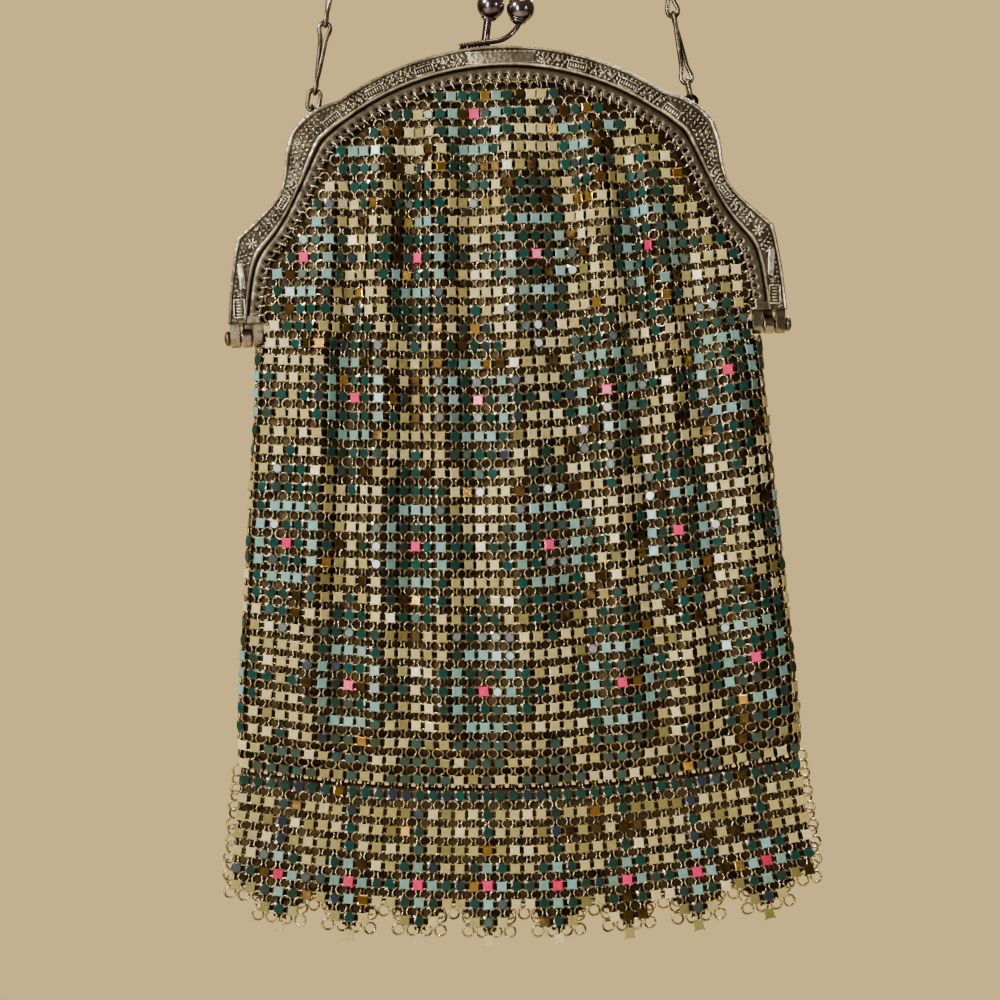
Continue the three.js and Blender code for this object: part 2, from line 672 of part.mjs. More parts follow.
// A point of the mesh's middle surface: turn runs from -1 at the left side to 1 at the right one.
function bagPoint(turn, level, facing) {
  const width = alongTable(BAG_LEVELS, "height", level, "width") * BAG_HALF_WIDTH;
  const flat = 1 - SIDE_ROUND / width;
  const size = Math.abs(turn);
  const angle = size > flat ? ((size - flat) / (1 - flat)) * (Math.PI / 2) : 0;
  const reach = size > flat ? width - SIDE_ROUND + SIDE_ROUND * Math.sin(angle) : size * width;
  const x = Math.sign(turn) * reach;
  const z = levelZ(level, x / width);
  const gathered = smooth(0, GATHER, edgeDistance(x, z));
  const full = alongTable(BAG_LEVELS, "height", level, "depth") * BAG_HALF_DEPTH;
  const fold = alongTable(BAG_LEVELS, "height", level, "fold") * FOLD_DEPTH;
  const rounding = THREE.MathUtils.lerp(Math.cos(angle), 1, smooth(-0.03, 0.1, level));
  const seat = level < -0.3 ? full : THREE.MathUtils.lerp(edgeDepth, full, gathered);
  const depth = (seat + fold * gathered * foldOut((facing * x) / width)) * rounding;
  return point(x, -facing * depth, z);
}

function acrossSteps() {
  const flat = 1 - SIDE_ROUND / BAG_HALF_WIDTH;
  const steps = FOLDS.map((fold) => fold.across).filter((place) => Math.abs(place) < flat - 0.02);
  const ends = [flat, flat + (1 - flat) / 3, flat + ((1 - flat) * 2) / 3, 1];
  return [...ends.map((end) => -end).reverse(), ...steps, ...ends];
}

// Closes the space between two grids of points into a slab.
function slab(front, back) {
  const rows = front.length;
  const columns = front[0].length;
  const points = [...front.flat(), ...back.flat()];
  const at = (layer, row, column) => layer * rows * columns + row * columns + column;
  const triangles = [];
  const quad = (a, b, c, d) => triangles.push(a, b, c, a, c, d);
  for (let r = 1; r < rows; r++) {
    for (let c = 1; c < columns; c++) {
      quad(at(0, r - 1, c - 1), at(0, r - 1, c), at(0, r, c), at(0, r, c - 1));
      quad(at(1, r - 1, c - 1), at(1, r, c - 1), at(1, r, c), at(1, r - 1, c));
    }
  }
  for (let r = 1; r < rows; r++) {
    quad(at(0, r - 1, 0), at(0, r, 0), at(1, r, 0), at(1, r - 1, 0));
    quad(at(0, r - 1, columns - 1), at(1, r - 1, columns - 1), at(1, r, columns - 1), at(0, r, columns - 1));
  }
  for (let c = 1; c < columns; c++) {
    quad(at(0, 0, c - 1), at(1, 0, c - 1), at(1, 0, c), at(0, 0, c));
    quad(at(0, rows - 1, c - 1), at(0, rows - 1, c), at(1, rows - 1, c), at(1, rows - 1, c - 1));
  }
  return solidOf(geometryOf(points, triangles));
}

function bagSheet(facing) {
  const turns = acrossSteps();
  const half = MESH_WALL / 2;
  const step = 0.004;
  const offset = (turn, level, amount) => {
    const place = bagPoint(turn, level, facing);
    if (Math.abs(turn) === 1) {
      // The side edges meet end to end, and reach a little over the middle plane so that they join.
      return place.add(point(Math.sign(turn) * amount, (facing * half) / 2, 0));
    }
    const across = bagPoint(turn + step, level, facing).sub(bagPoint(turn - step, level, facing));
    const normal = point(across.y, -across.x, 0).normalize();
    if (normal.y * facing > 0) normal.negate();
    return place.addScaledVector(normal, amount);
  };
  const grid = (amount) => BAG_ROWS.map((level) => turns.map((turn) => offset(turn, level, amount)));
  return slab(grid(half), grid(-half));
}

// The room that the frame leaves for the mesh: inside the arch, and below the barrels.
function meshRoom() {
  const inner = stations.map((station) => station.inner);
  const outline = inner.map((place, i) => {
    const before = inner[Math.max(i - 1, 0)];
    const after = inner[Math.min(i + 1, inner.length - 1)];
    const way = new THREE.Vector2(after.x - before.x, after.z - before.z).normalize();
    return new THREE.Vector2(place.x - CLEARANCE * way.y, place.z + CLEARANCE * way.x);
  });
  const barrelInner = barrelEnd - BARREL_LENGTH - CLEARANCE;
  const below = -(BARREL_RADIUS + CLEARANCE);
  const far = BAG_HALF_WIDTH * 1.3;
  const bottom = -BAG_DROP * 1.3;
  const deep = BAG_HALF_DEPTH * 3;
  const shape = new THREE.Shape([
    new THREE.Vector2(far, bottom),
    new THREE.Vector2(far, below),
    new THREE.Vector2(barrelInner, below),
    new THREE.Vector2(barrelInner, footZ),
    ...outline.slice(1, -1),
    new THREE.Vector2(-barrelInner, footZ),
    new THREE.Vector2(-barrelInner, below),
    new THREE.Vector2(-far, below),
    new THREE.Vector2(-far, bottom),
  ]);
  const room = new THREE.ExtrudeGeometry(shape, { depth: deep * 2, bevelEnabled: false });
  room.rotateX(Math.PI / 2);
  room.translate(0, deep, 0);
  return solidOf(room);
}

function meshBag() {
  return joined([bagSheet(1), bagSheet(-1)]).intersect(meshRoom());
}

// One layer of the fringe, from the seam to its points.
function fringeSheet(facing) {
  const perPoint = 2;
  const columns = POINTS * perPoint;
  const rows = [0, 0.35, 0.75, 1];
  const grid = (layer) =>
    rows.map((row) =>
      Array.from({ length: columns + 1 }, (_, column) => {
        const share = (2 * column) / columns - 1;
        const toValley = Math.abs(((column / perPoint) % 1) - 0.5) * 2;
        const top = seamZ(share) - CLEARANCE;
        const drop = FRINGE_DROP - POINT_DROP * toValley - SEAM_RISE * 0.35 * share ** 2;
        const width = THREE.MathUtils.lerp(BAG_HALF_WIDTH, FRINGE_HALF_WIDTH, Math.min(row * 1.5, 1));
        const wave = 0.5 * Math.sin(share * 9 + facing) * row;
        const stand = FRINGE_WALL / 2 + CLEARANCE + FRINGE_FLARE * row + wave;
        const y = -facing * (stand + (layer * FRINGE_WALL) / 2);
        return point(share * width, y, top - row * drop);
      }),
    );
  return slab(grid(1), grid(-1));
}

const front = new THREE.Group();
front.add(named("frame_front", halfFrame([0, 2], FRONT_PEG_X), MATERIALS.frame));
front.add(named("clasp_front", claspFront(), MATERIALS.clasp));

const back = new THREE.Group();
const eyes = chainEye(-1, point(0, 1, 0)).add(chainEye(1, point(1, 0, 0)));
const backHalf = halfFrame([1], BACK_PEG_X).mirror([0, 1, 0]).add(eyes);
back.add(named("frame_back", backHalf, MATERIALS.frame));
back.add(named("clasp_back", claspBack(), MATERIALS.clasp));

const hinges = new THREE.Group();
hinges.add(named("hinge_pin_right", hingePin(), MATERIALS.pin));
hinges.add(named("hinge_pin_left", mirrorX(hingePin()), MATERIALS.pin));

const bag = new THREE.Group();
bag.add(named("mesh_bag", meshBag(), MATERIALS.mesh));
bag.add(named("fringe_front", fringeSheet(1), MATERIALS.mesh));
bag.add(named("fringe_back", fringeSheet(-1), MATERIALS.mesh));

// Everything but the chain is placed from the hinge line.
const body = new THREE.Group();
body.add(front, back, hinges, bag);
body.position.z = -hingeDrop;

const purse = new THREE.Group();
purse.add(body, named("chain", chainSolid(), MATERIALS.chain));

export default purse;
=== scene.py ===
"""An enamelled plate mesh purse on its embossed frame, hanging closed from its chain."""

import math
import random

import bmesh
import bpy
import numpy as np
from mathutils import Matrix, Vector


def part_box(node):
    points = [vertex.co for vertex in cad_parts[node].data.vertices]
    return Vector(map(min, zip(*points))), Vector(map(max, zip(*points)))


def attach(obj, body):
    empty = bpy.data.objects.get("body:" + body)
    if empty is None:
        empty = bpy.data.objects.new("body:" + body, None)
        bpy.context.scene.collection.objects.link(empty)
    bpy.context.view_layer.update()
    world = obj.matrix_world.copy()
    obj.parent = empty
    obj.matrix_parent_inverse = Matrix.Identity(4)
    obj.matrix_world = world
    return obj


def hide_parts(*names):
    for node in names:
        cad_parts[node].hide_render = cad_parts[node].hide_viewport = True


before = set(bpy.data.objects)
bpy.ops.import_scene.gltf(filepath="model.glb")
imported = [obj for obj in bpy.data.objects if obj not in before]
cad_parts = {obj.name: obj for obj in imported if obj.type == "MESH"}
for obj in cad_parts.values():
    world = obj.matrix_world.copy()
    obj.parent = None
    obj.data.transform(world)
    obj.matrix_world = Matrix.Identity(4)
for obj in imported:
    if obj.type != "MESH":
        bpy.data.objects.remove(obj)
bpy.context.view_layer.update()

MM = 0.001
chance = random.Random(26)
numbers = np.random.default_rng(26)

# Sizes in millimetres. Heights are measured from the hinge line, and the front faces -Y.
low_pin, high_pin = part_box("hinge_pin_left")
HINGE_Z = (low_pin.z + high_pin.z) / 2 / MM
FRAME_HALF_WIDTH = 53.2
FRAME_HEIGHT = 54.1
ARCH_RADIUS = 55.0
BAND_WIDTH = 3.8
FLANGE_WIDTH = 2.6
FRAME_DEPTH = 4.3
FLANGE_FRONT = 3.53
FLANGE_BACK = 2.73
PARTING = 0.15
RIM_WALL = 1.1
ARCH_CENTRE = FRAME_HEIGHT - ARCH_RADIUS
STITCH_HOLES = 80
FLANGE_HOLE = 5.5  # across the band and flange, to the holes' middle
FLANGE_INSET = 0.6
HOLE_RADIUS = 0.55  # at the corners of a hole's four-sided mesh, before it's smoothed
STITCH_STEPS = 14
STITCH_REACH = 0.85
STITCH_SHIFT = -0.1
STITCH_LIFT = 0.72
STITCH_WIRE = 0.16

BARREL_RADIUS = 1.8
BARREL_LENGTH = 6.3
PIN_HEAD_RADIUS = 1.45

BALL_RADIUS = 2.7
BALL_RISE = 8.3
CLASP_WIRE_RADIUS = 0.52

EYE_X = 36.4
EYE_RADIUS = 1.55
EYE_WIRE = 0.8
EYE_SINK = 0.6
CHAIN_WIRE = 0.9
LINK_LENGTH = 14.8
LINK_EYE_WIDTH = 3.0
RING_LENGTH = 5.0
RING_WIDTH = 3.2
STRAIGHT_LINKS = 9
BEND_DEGREES = 50
FUSE = 0.1
CHAIN_DEPTH = FRAME_DEPTH * 0.4

BAG_HALF_WIDTH = 53.9
BAG_DROP = 87.5
BAG_HALF_DEPTH = 5.0
SEAM_RISE = 4.7
FOLD_DEPTH = 2.0
SIDE_ROUND = 8.0
GATHER = 14.0
EDGE_DEPTH = FRAME_DEPTH * 0.82 - 0.4

COLUMNS = 42
TOP_ROW_Z = 41.3
SEAM_ROW = 37.5
ROW_PITCH = 3.38
FRINGE_ROWS = 9
FRINGE_HALF_WIDTH = 56.0
FRINGE_FLARE = 2.4
DOME_RADIUS = 0.98
DISC_BASE = 0.12
DISC_THICKNESS = 0.12
PLATE_TOP = 0.27
# A quarter of a plate's outline with the height of each point: the arms' ends are bent back.
PLATE_OUTLINE = [(0.9, 0.57, 0.0), (1.12, 0.97, -0.14), (0.97, 1.12, -0.14), (0.57, 0.9, 0.0)]
RING_RADIUS = 1.07
RING_WIRE = 0.22
FOLD_SHARE = 0.8
SHADE_SHEET_LEVELS = (-0.993, 0.93)
SHADE_SHEET_WIDTH = 0.985

# The frame's side from the foot up, for its outer edge, the ridge between band and flange, and its inner
# edge. x is a share of FRAME_HALF_WIDTH and z of FRAME_HEIGHT.
FRAME_SIDE = [
    dict(outer=(1.0, 0.048), ridge=(0.932, 0.048), inner=(0.885, 0.048)),
    dict(outer=(0.987, 0.185), ridge=(0.915, 0.185), inner=(0.864, 0.174)),
    dict(outer=(0.97, 0.294), ridge=(0.896, 0.262), inner=(0.847, 0.244)),
    dict(outer=(0.958, 0.349), ridge=(0.873, 0.303), inner=(0.826, 0.283)),
    dict(outer=(0.888, 0.41), ridge=(0.82, 0.366), inner=(0.779, 0.342)),
    dict(outer=(0.839, 0.455), ridge=(0.781, 0.425), inner=(0.737, 0.407)),
    dict(outer=(0.803, 0.503), ridge=(0.749, 0.486), inner=(0.705, 0.468)),
    dict(outer=(0.786, 0.564), ridge=(0.718, 0.547), inner=(0.675, 0.529)),
    dict(outer=(0.777, 0.647), ridge=(0.688, 0.61), inner=(0.647, 0.588)),
    dict(outer=(0.757, 0.715), ridge=(0.652, 0.68), inner=(0.612, 0.652)),
    dict(outer=(0.714, 0.762), ridge=(0.624, 0.706), inner=(0.586, 0.675)),
    dict(outer=(0.656, 0.8), ridge=(0.586, 0.737), inner=(0.554, 0.701)),
]
OUTER_CORNERS = (3, 9)
ARCH_START = 34.3

# The bag's levels: height is a share of FRAME_HEIGHT above the hinge line and of BAG_DROP below it,
# the others of BAG_HALF_WIDTH, BAG_HALF_DEPTH and FOLD_DEPTH.
BAG_LEVELS = [
    dict(height=-1.0, width=1.0, depth=0.1, fold=0.0),
    dict(height=-0.9, width=0.995, depth=0.7, fold=0.35),
    dict(height=-0.78, width=0.982, depth=0.95, fold=0.55),
    dict(height=-0.47, width=0.943, depth=1.0, fold=0.75),
    dict(height=-0.15, width=0.903, depth=0.97, fold=0.85),
    dict(height=0.0, width=0.892, depth=0.95, fold=0.9),
    dict(height=0.37, width=0.865, depth=0.9, fold=0.95),
    dict(height=0.9, width=0.822, depth=0.82, fold=1.0),
]
FOLDS = [
    (-1.0, 0.0), (-0.88, -0.7), (-0.74, 1.0), (-0.63, -1.0), (-0.5, 1.0), (-0.38, -1.0), (-0.27, 0.9),
    (-0.136, -0.8), (0.034, 0.9), (0.26, -1.0), (0.396, 1.0), (0.51, -1.0), (0.62, 1.0), (0.74, -0.9),
    (0.88, 0.8), (1.0, 0.0),
]

# The half-drop repeat of ten columns and sixteen rows, charted for one quarter: a row for each row away
# from the pink plate, a letter for each column away. P pink, D dark teal, A aqua, C cream.
CHART = ["PDADDC", "DDADCC", "AADCCC", "DDDCCD", "DDCCDD", "DCCDDD", "CCCDAA", "CCDADD", "CDDADP"]
FRINGE_CHART = ["DDD", "DCC", "DCC", "DCC", "ADC", "PAD", "ADC", "DC ", "C  "]
GLAZES = "PACBG"
BARE_PLATE = (0, 28)  # a pink plate of the top row that has lost its enamel


def linear(hex_colour):
    """sRGB hex to a linear colour with alpha."""
    value = hex_colour.lstrip("#")
    channels = [int(value[i:i + 2], 16) / 255 for i in (0, 2, 4)]
    curved = [c / 12.92 if c <= 0.04045 else ((c + 0.055) / 1.055) ** 2.4 for c in channels]
    return (*curved, 1.0)


# Camera: the photograph looks square at the purse, with the purse's right side slightly raised.
VIEW_CENTRE_X = -2.4
VIEW_CENTRE_Z = -32.3
VIEW_SIZE = 190.0
VIEW_DISTANCE = 450.0
VIEW_ROLL = math.radians(1.55)
SENSOR = 36.0


def make_camera():
    data = bpy.data.cameras.new("camera")
    data.sensor_width = SENSOR
    data.lens = SENSOR * VIEW_DISTANCE / VIEW_SIZE
    data.clip_start = 0.01
    camera = bpy.data.objects.new("camera", data)
    right = Vector((math.cos(VIEW_ROLL), 0, -math.sin(VIEW_ROLL)))
    up = Vector((math.sin(VIEW_ROLL), 0, math.cos(VIEW_ROLL)))
    back = right.cross(up)
    place = Vector((VIEW_CENTRE_X, -VIEW_DISTANCE - FRAME_DEPTH, VIEW_CENTRE_Z + HINGE_Z)) * MM
    camera.matrix_world = Matrix((right, up, back)).transposed().to_4x4()
    camera.location = place
    bpy.context.collection.objects.link(camera)
    bpy.context.scene.camera = camera


make_camera()


# Materials

def add_node(tree, kind, settings=None, values=None, links=None):
    """Adds a node, sets its properties and socket values, and links sockets from other nodes."""
    node = tree.nodes.new(kind)
    for name, value in (settings or {}).items():
        setattr(node, name, value)
    for name, value in (values or {}).items():
        node.inputs[name].default_value = value
    for name, source in (links or {}).items():
        tree.links.new(source, node.inputs[name])
    return node


def new_material(name):
    material = bpy.data.materials.new(name)
    material.use_nodes = True
    tree = material.node_tree
    shader = tree.nodes["Principled BSDF"]
    return material, tree, shader


def ramp(tree, factor, stops):
    node = add_node(tree, "ShaderNodeValToRGB", links={"Fac": factor})
    elements = node.color_ramp.elements
    while len(elements) < len(stops):
        elements.new(0.5)
    for element, (position, colour) in zip(elements, stops):
        element.position = position
        element.color = colour
    return node.outputs["Color"]


def grey(value):
    return (value, value, value, 1.0)


def mixed(tree, factor, first, second, blend="MIX"):
    node = add_node(tree, "ShaderNodeMix", settings={"data_type": "RGBA", "blend_type": blend})
    for socket, value in ((node.inputs[0], factor), (node.inputs[6], first), (node.inputs[7], second)):
        if isinstance(value, bpy.types.NodeSocket):
            tree.links.new(value, socket)
        else:
            socket.default_value = value
    return node.outputs[2]


def coordinates(tree, scale_mm):
    """Object coordinates scaled so that one unit of a pattern is scale_mm long."""
    source = add_node(tree, "ShaderNodeTexCoord")
    size = 1 / (scale_mm * MM)
    mapping = add_node(
        tree,
        "ShaderNodeMapping",
        values={"Scale": (size, size, size)},
        links={"Vector": source.outputs["Object"]},
    )
    return mapping.outputs["Vector"]


def noise(tree, scale_mm, detail=2.0, roughness=0.5):
    node = add_node(
        tree,
        "ShaderNodeTexNoise",
        values={"Scale": 1.0, "Detail": detail, "Roughness": roughness},
        links={"Vector": coordinates(tree, scale_mm)},
    )
    return node.outputs["Fac"]


def enamel(name, colours, rough_fresh=0.2, rough_faded=0.38):
    """Fired gloss enamel on a stamped brass plate: smooth and glassy, its colour a little different from
    plate to plate after a century of light and wear. Each plate's shade, from the most faded colour to the
    freshest, comes from its own attribute."""
    material, tree, shader = new_material(name)
    shade = add_node(tree, "ShaderNodeAttribute", settings={"attribute_name": "shade"}).outputs["Fac"]
    last = len(colours) - 1
    body = ramp(tree, shade, [(i / last, linear(colour)) for i, colour in enumerate(colours)])
    cloud = ramp(tree, noise(tree, 0.9, detail=3.0), [(0.3, grey(0.78)), (0.6, grey(1.0))])
    tree.links.new(mixed(tree, 1.0, body, cloud, "MULTIPLY"), shader.inputs["Base Color"])
    rough = ramp(tree, shade, [(0.0, grey(rough_faded)), (1.0, grey(rough_fresh))])
    tree.links.new(rough, shader.inputs["Roughness"])
    shader.inputs["IOR"].default_value = 1.52
    ripple = add_node(tree, "ShaderNodeBump", values={"Strength": 0.12, "Distance": 0.00005})
    tree.links.new(noise(tree, 1.2, detail=1.0), ripple.inputs["Height"])
    tree.links.new(ripple.outputs["Normal"], shader.inputs["Normal"])
    return material


def metal(name, bright, dull, rough_low, rough_high, patch_mm, scratch_mm=0.4, bump=0.3):
    """Metal with patchy tarnish: the tarnish follows a slow noise, the fine scratches a quick one."""
    material, tree, shader = new_material(name)
    patches = noise(tree, patch_mm, detail=3.0, roughness=0.6)
    spread = ramp(tree, patches, [(0.36, linear(dull)), (0.62, linear(bright))])
    tree.links.new(spread, shader.inputs["Base Color"])
    shader.inputs["Metallic"].default_value = 1.0
    rough = ramp(tree, patches, [(0.35, grey(rough_high)), (0.65, grey(rough_low))])
    tree.links.new(rough, shader.inputs["Roughness"])
    scratches = add_node(tree, "ShaderNodeBump", values={"Strength": bump, "Distance": 0.00005})
    tree.links.new(noise(tree, scratch_mm, detail=3.0), scratches.inputs["Height"])
    tree.links.new(scratches.outputs["Normal"], shader.inputs["Normal"])
    return material


def embossed_silver():
    """Stamped nickel silver, coloured by depth from the front: the raised ornament bright and warm, partly
    worn metal and partly painted highlight; the ground between black, partly old tarnish and partly painted
    shade.
    The face lies square to Y, so depth from the front tells ground from relief."""
    material, tree, shader = new_material("embossed_nickel_silver")
    source = add_node(tree, "ShaderNodeTexCoord")
    split = add_node(tree, "ShaderNodeSeparateXYZ", links={"Vector": source.outputs["Object"]})
    depth = add_node(
        tree, "ShaderNodeMath", settings={"operation": "ABSOLUTE"}, links={0: split.outputs["Y"]}
    )
    # Depth from the front paints light and shade: the sunk ground dark as painted shade and old tarnish, the
    # raised relief bright as painted highlight and worn metal.
    height = add_node(
        tree,
        "ShaderNodeMapRange",
        values={"From Min": 0.0037, "From Max": 0.00445},
        links={"Value": depth.outputs[0]},
    )
    patches = noise(tree, 5.0, detail=4.0, roughness=0.65)
    grime = add_node(
        tree,
        "ShaderNodeMath",
        settings={"operation": "MULTIPLY_ADD"},
        values={1: 1.1, 2: -0.55},
        links={0: patches},
    )
    # Painted light and shade by depth, plus random tarnish patches; this sets the colour and the roughness.
    relief_wear_and_shade = add_node(
        tree, "ShaderNodeMath", settings={"operation": "ADD", "use_clamp": True},
        links={0: height.outputs["Result"], 1: grime.outputs[0]},
    )
    # From near-black painted shade and tarnish in the ground up to a near-white painted highlight on the
    # relief.
    colour = ramp(
        tree,
        relief_wear_and_shade.outputs[0],
        [
            (0.0, linear("#1D1914")),
            (0.28, linear("#4A4338")),
            (0.6, linear("#8C8371")),
            (1.0, linear("#F2EBDA")),
        ],
    )
    tree.links.new(colour, shader.inputs["Base Color"])
    shader.inputs["Metallic"].default_value = 1.0
    rough = ramp(tree, relief_wear_and_shade.outputs[0], [(0.0, grey(0.6)), (1.0, grey(0.3))])
    tree.links.new(rough, shader.inputs["Roughness"])
    # Fine chased leaves between the larger ornament, too small to be modelled.
    leaves = add_node(
        tree,
        "ShaderNodeTexVoronoi",
        settings={"feature": "F1"},
        values={"Scale": 1.0, "Randomness": 0.9},
        links={"Vector": coordinates(tree, 0.8)},
    )
    chased = add_node(tree, "ShaderNodeBump", values={"Strength": 0.55, "Distance": 0.00022})
    tree.links.new(leaves.outputs["Distance"], chased.inputs["Height"])
    bump = add_node(
        tree,
        "ShaderNodeBump",
        values={"Strength": 0.5, "Distance": 0.0001},
        links={"Normal": chased.outputs["Normal"]},
    )
    tree.links.new(noise(tree, 0.5, detail=3.0, roughness=0.6), bump.inputs["Height"])
    tree.links.new(bump.outputs["Normal"], shader.inputs["Normal"])
    return material


ENAMELS = {
    "P": enamel("pink_enamel", ["#B8144C", "#DA1F66", "#E8337A"], 0.16, 0.28),
    "D": enamel("dark_teal_enamel", ["#212B38", "#1B3326", "#123731", "#144340"], 0.12, 0.24),
    "A": enamel("aqua_enamel", ["#67857B", "#749E96", "#7DADB2"], 0.16, 0.28),
    "C": enamel("cream_enamel", ["#716A38", "#ACA064", "#DAD09E"], 0.16, 0.28),
    "B": metal("worn_brown_plate", "#5E4A28", "#2A2010", 0.3, 0.5, 2.5),
    "G": metal("bare_brass_plate", "#E0B65A", "#A07A34", 0.18, 0.34, 3.0),
}
# Bare blanks and rings are the same old plated brass, rubbed pale where they stand proud.
BLANK_METAL = metal("bare_plated_blank", "#B5AA8A", "#665C44", 0.25, 0.4, 4.0)
# The backs of the plates and the shade sheets inside the bag: dark tarnished brass, made near black as
# painted shade, so that the holes between the plates read dark.
BACK_TARNISH_AND_SHADE = metal("plate_back_tarnish_and_shade", "#463B2A", "#211A12", 0.5, 0.7, 3.0)
RING_METAL = metal("aged_plated_wire", "#D2C08E", "#41341F", 0.2, 0.38, 1.6)
STITCH_METAL = metal("nickel_coil_wire", "#F0E8D6", "#A89C84", 0.18, 0.32, 7.0)
SILVER = embossed_silver()
CLASP_METAL = metal("polished_dark_nickel", "#9A9096", "#5E5558", 0.14, 0.26, 4.0, bump=0.12)
CHAIN_METAL = metal("worn_plated_wire", "#A39A88", "#4A4338", 0.2, 0.38, 6.0)
FLANGE_METAL = metal("flange_nickel_silver", "#857B68", "#4E4638", 0.3, 0.48, 2.5, bump=0.5)
HINGE_METAL = metal("worn_hinge_nickel", "#9A8F79", "#4A4235", 0.25, 0.45, 2.5)
PIN_METAL = metal("dull_nickel", "#8C8068", "#4A4234", 0.3, 0.5, 3.0)


# Mesh helpers

def finish_piece(bm, name, materials, smooth=True, replaced=()):
    """Scales a bmesh from millimetres and makes it a piece of the purse."""
    bmesh.ops.scale(bm, vec=(MM, MM, MM), verts=bm.verts)
    mesh = bpy.data.meshes.new(name)
    bm.to_mesh(mesh)
    bm.free()
    return add_piece(mesh, name, materials, smooth, replaced)


def add_piece(mesh, name, materials, smooth, replaced):
    for material in materials:
        mesh.materials.append(material)
    mesh.polygons.foreach_set("use_smooth", [smooth] * len(mesh.polygons))
    piece = bpy.data.objects.new(name, mesh)
    bpy.context.collection.objects.link(piece)
    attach(piece, "root")
    if replaced:
        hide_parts(*replaced)
    return piece


def raise_to_hinge(bm):
    bmesh.ops.translate(bm, vec=(0, 0, HINGE_Z), verts=bm.verts)


def template_arrays(bm):
    """Vertices and faces of a small bmesh, for laying many copies at once."""
    bm.verts.ensure_lookup_table()
    vertices = np.array([vertex.co[:] for vertex in bm.verts])
    faces = [[vertex.index for vertex in face.verts] for face in bm.faces]
    bm.free()
    return vertices, faces


def lay_copies(name, template, places, axes, glazes=None, shades=None):
    """One mesh of many copies: places is N by 3 in millimetres, axes has three rows for each of them."""
    vertices, faces = template
    count, size = len(places), len(vertices)
    moved = np.einsum("vk,nkc->nvc", vertices, axes) + places[:, None, :]
    moved = moved.reshape(-1, 3) * MM
    mesh = bpy.data.meshes.new(name)
    corners = np.concatenate([np.array(face) for face in faces])
    lengths = np.array([len(face) for face in faces])
    all_corners = (corners[None, :] + size * np.arange(count)[:, None]).ravel()
    all_lengths = np.tile(lengths, count)
    mesh.vertices.add(count * size)
    mesh.vertices.foreach_set("co", moved.ravel())
    mesh.loops.add(len(all_corners))
    mesh.loops.foreach_set("vertex_index", all_corners.astype(np.int32))
    mesh.polygons.add(len(all_lengths))
    starts = np.concatenate([[0], np.cumsum(all_lengths)[:-1]])
    mesh.polygons.foreach_set("loop_start", starts.astype(np.int32))
    if glazes is not None:
        mesh.polygons.foreach_set("material_index", np.asarray(glazes).astype(np.int32))
    mesh.update(calc_edges=True)
    if shades is not None:
        attribute = mesh.attributes.new("shade", "FLOAT", "POINT")
        attribute.data.foreach_set("value", np.repeat(shades, size).astype(np.float32))
    mesh.validate()
    return mesh


def sweep(bm, loops, closed_path=False):
    """Extrudes a first loop of points through the others. Each loop has as many points as the first."""
    tag = bm.verts.layers.int.new("place")
    ring = [bm.verts.new(corner) for corner in loops[0]]
    for index, vertex in enumerate(ring):
        vertex[tag] = index
    count = len(ring)
    edges = [bm.edges.new((ring[i], ring[(i + 1) % count])) for i in range(count)]
    first_edges = list(edges)
    for corners in loops[1:]:
        made = bmesh.ops.extrude_edge_only(bm, edges=edges)["geom"]
        for item in made:
            if isinstance(item, bmesh.types.BMVert):
                item.co = corners[item[tag]]
        edges = [
            item for item in made if isinstance(item, bmesh.types.BMEdge) and len(item.link_faces) == 1
        ]
        fresh = {item for item in made if isinstance(item, bmesh.types.BMVert)}
        edges = [edge for edge in edges if edge.verts[0] in fresh and edge.verts[1] in fresh]
    if closed_path:
        bmesh.ops.bridge_loops(bm, edges=first_edges + edges)
    else:
        bmesh.ops.edgeloop_fill(bm, edges=first_edges)
        bmesh.ops.edgeloop_fill(bm, edges=edges)
    bm.verts.layers.int.remove(tag)
    bmesh.ops.recalc_face_normals(bm, faces=bm.faces)


def wire(bm, points, radius, sides, closed=False, centres=None):
    """A round wire along points. With centres, its section turns with the way out from them."""
    points = [Vector(place) for place in points]
    count = len(points)
    loops = []
    previous = None
    for i, place in enumerate(points):
        before = points[(i - 1) % count] if closed or i else place
        after = points[(i + 1) % count] if closed or i < count - 1 else place
        along = (after - before).normalized()
        if centres is not None:
            out = place - Vector(centres[i])
        elif previous is not None:
            out = previous
        else:
            out = Vector((0, 1, 0)) if abs(along.y) < 0.9 else Vector((1, 0, 0))
        out = (out - along * out.dot(along)).normalized()
        previous = out
        side = along.cross(out)
        size = radius[i] if isinstance(radius, (list, tuple)) else radius
        loops.append([
            place
            + out * (size * math.cos(2 * math.pi * (k + 0.5) / sides))
            + side * (size * math.sin(2 * math.pi * (k + 0.5) / sides))
            for k in range(sides)
        ])
    sweep(bm, loops, closed_path=closed)


def join_into(target, source):
    """Adds a finished bmesh to another."""
    mesh = bpy.data.meshes.new("joining")
    source.to_mesh(mesh)
    source.free()
    target.from_mesh(mesh)
    bpy.data.meshes.remove(mesh)


def spline(points, per_step, sharp=()):
    """A smooth curve through points, with corners kept at the sharp ones."""
    points = [np.array(place, float) for place in points]
    last = len(points) - 1
    out = []
    for i in range(last):
        a, b = points[i], points[i + 1]
        start = (b - a) if i == 0 or i in sharp else (b - points[i - 1]) / 2
        finish = (b - a) if i + 1 == last or i + 1 in sharp else (points[i + 2] - a) / 2
        for step in range(per_step):
            t = step / per_step
            out.append(
                (2 * t ** 3 - 3 * t ** 2 + 1) * a
                + (t ** 3 - 2 * t ** 2 + t) * start
                + (3 * t ** 2 - 2 * t ** 3) * b
                + (t ** 3 - t ** 2) * finish
            )
    out.append(points[last])
    return np.array(out)


# The frame's three edges, station by station from the right foot to the left

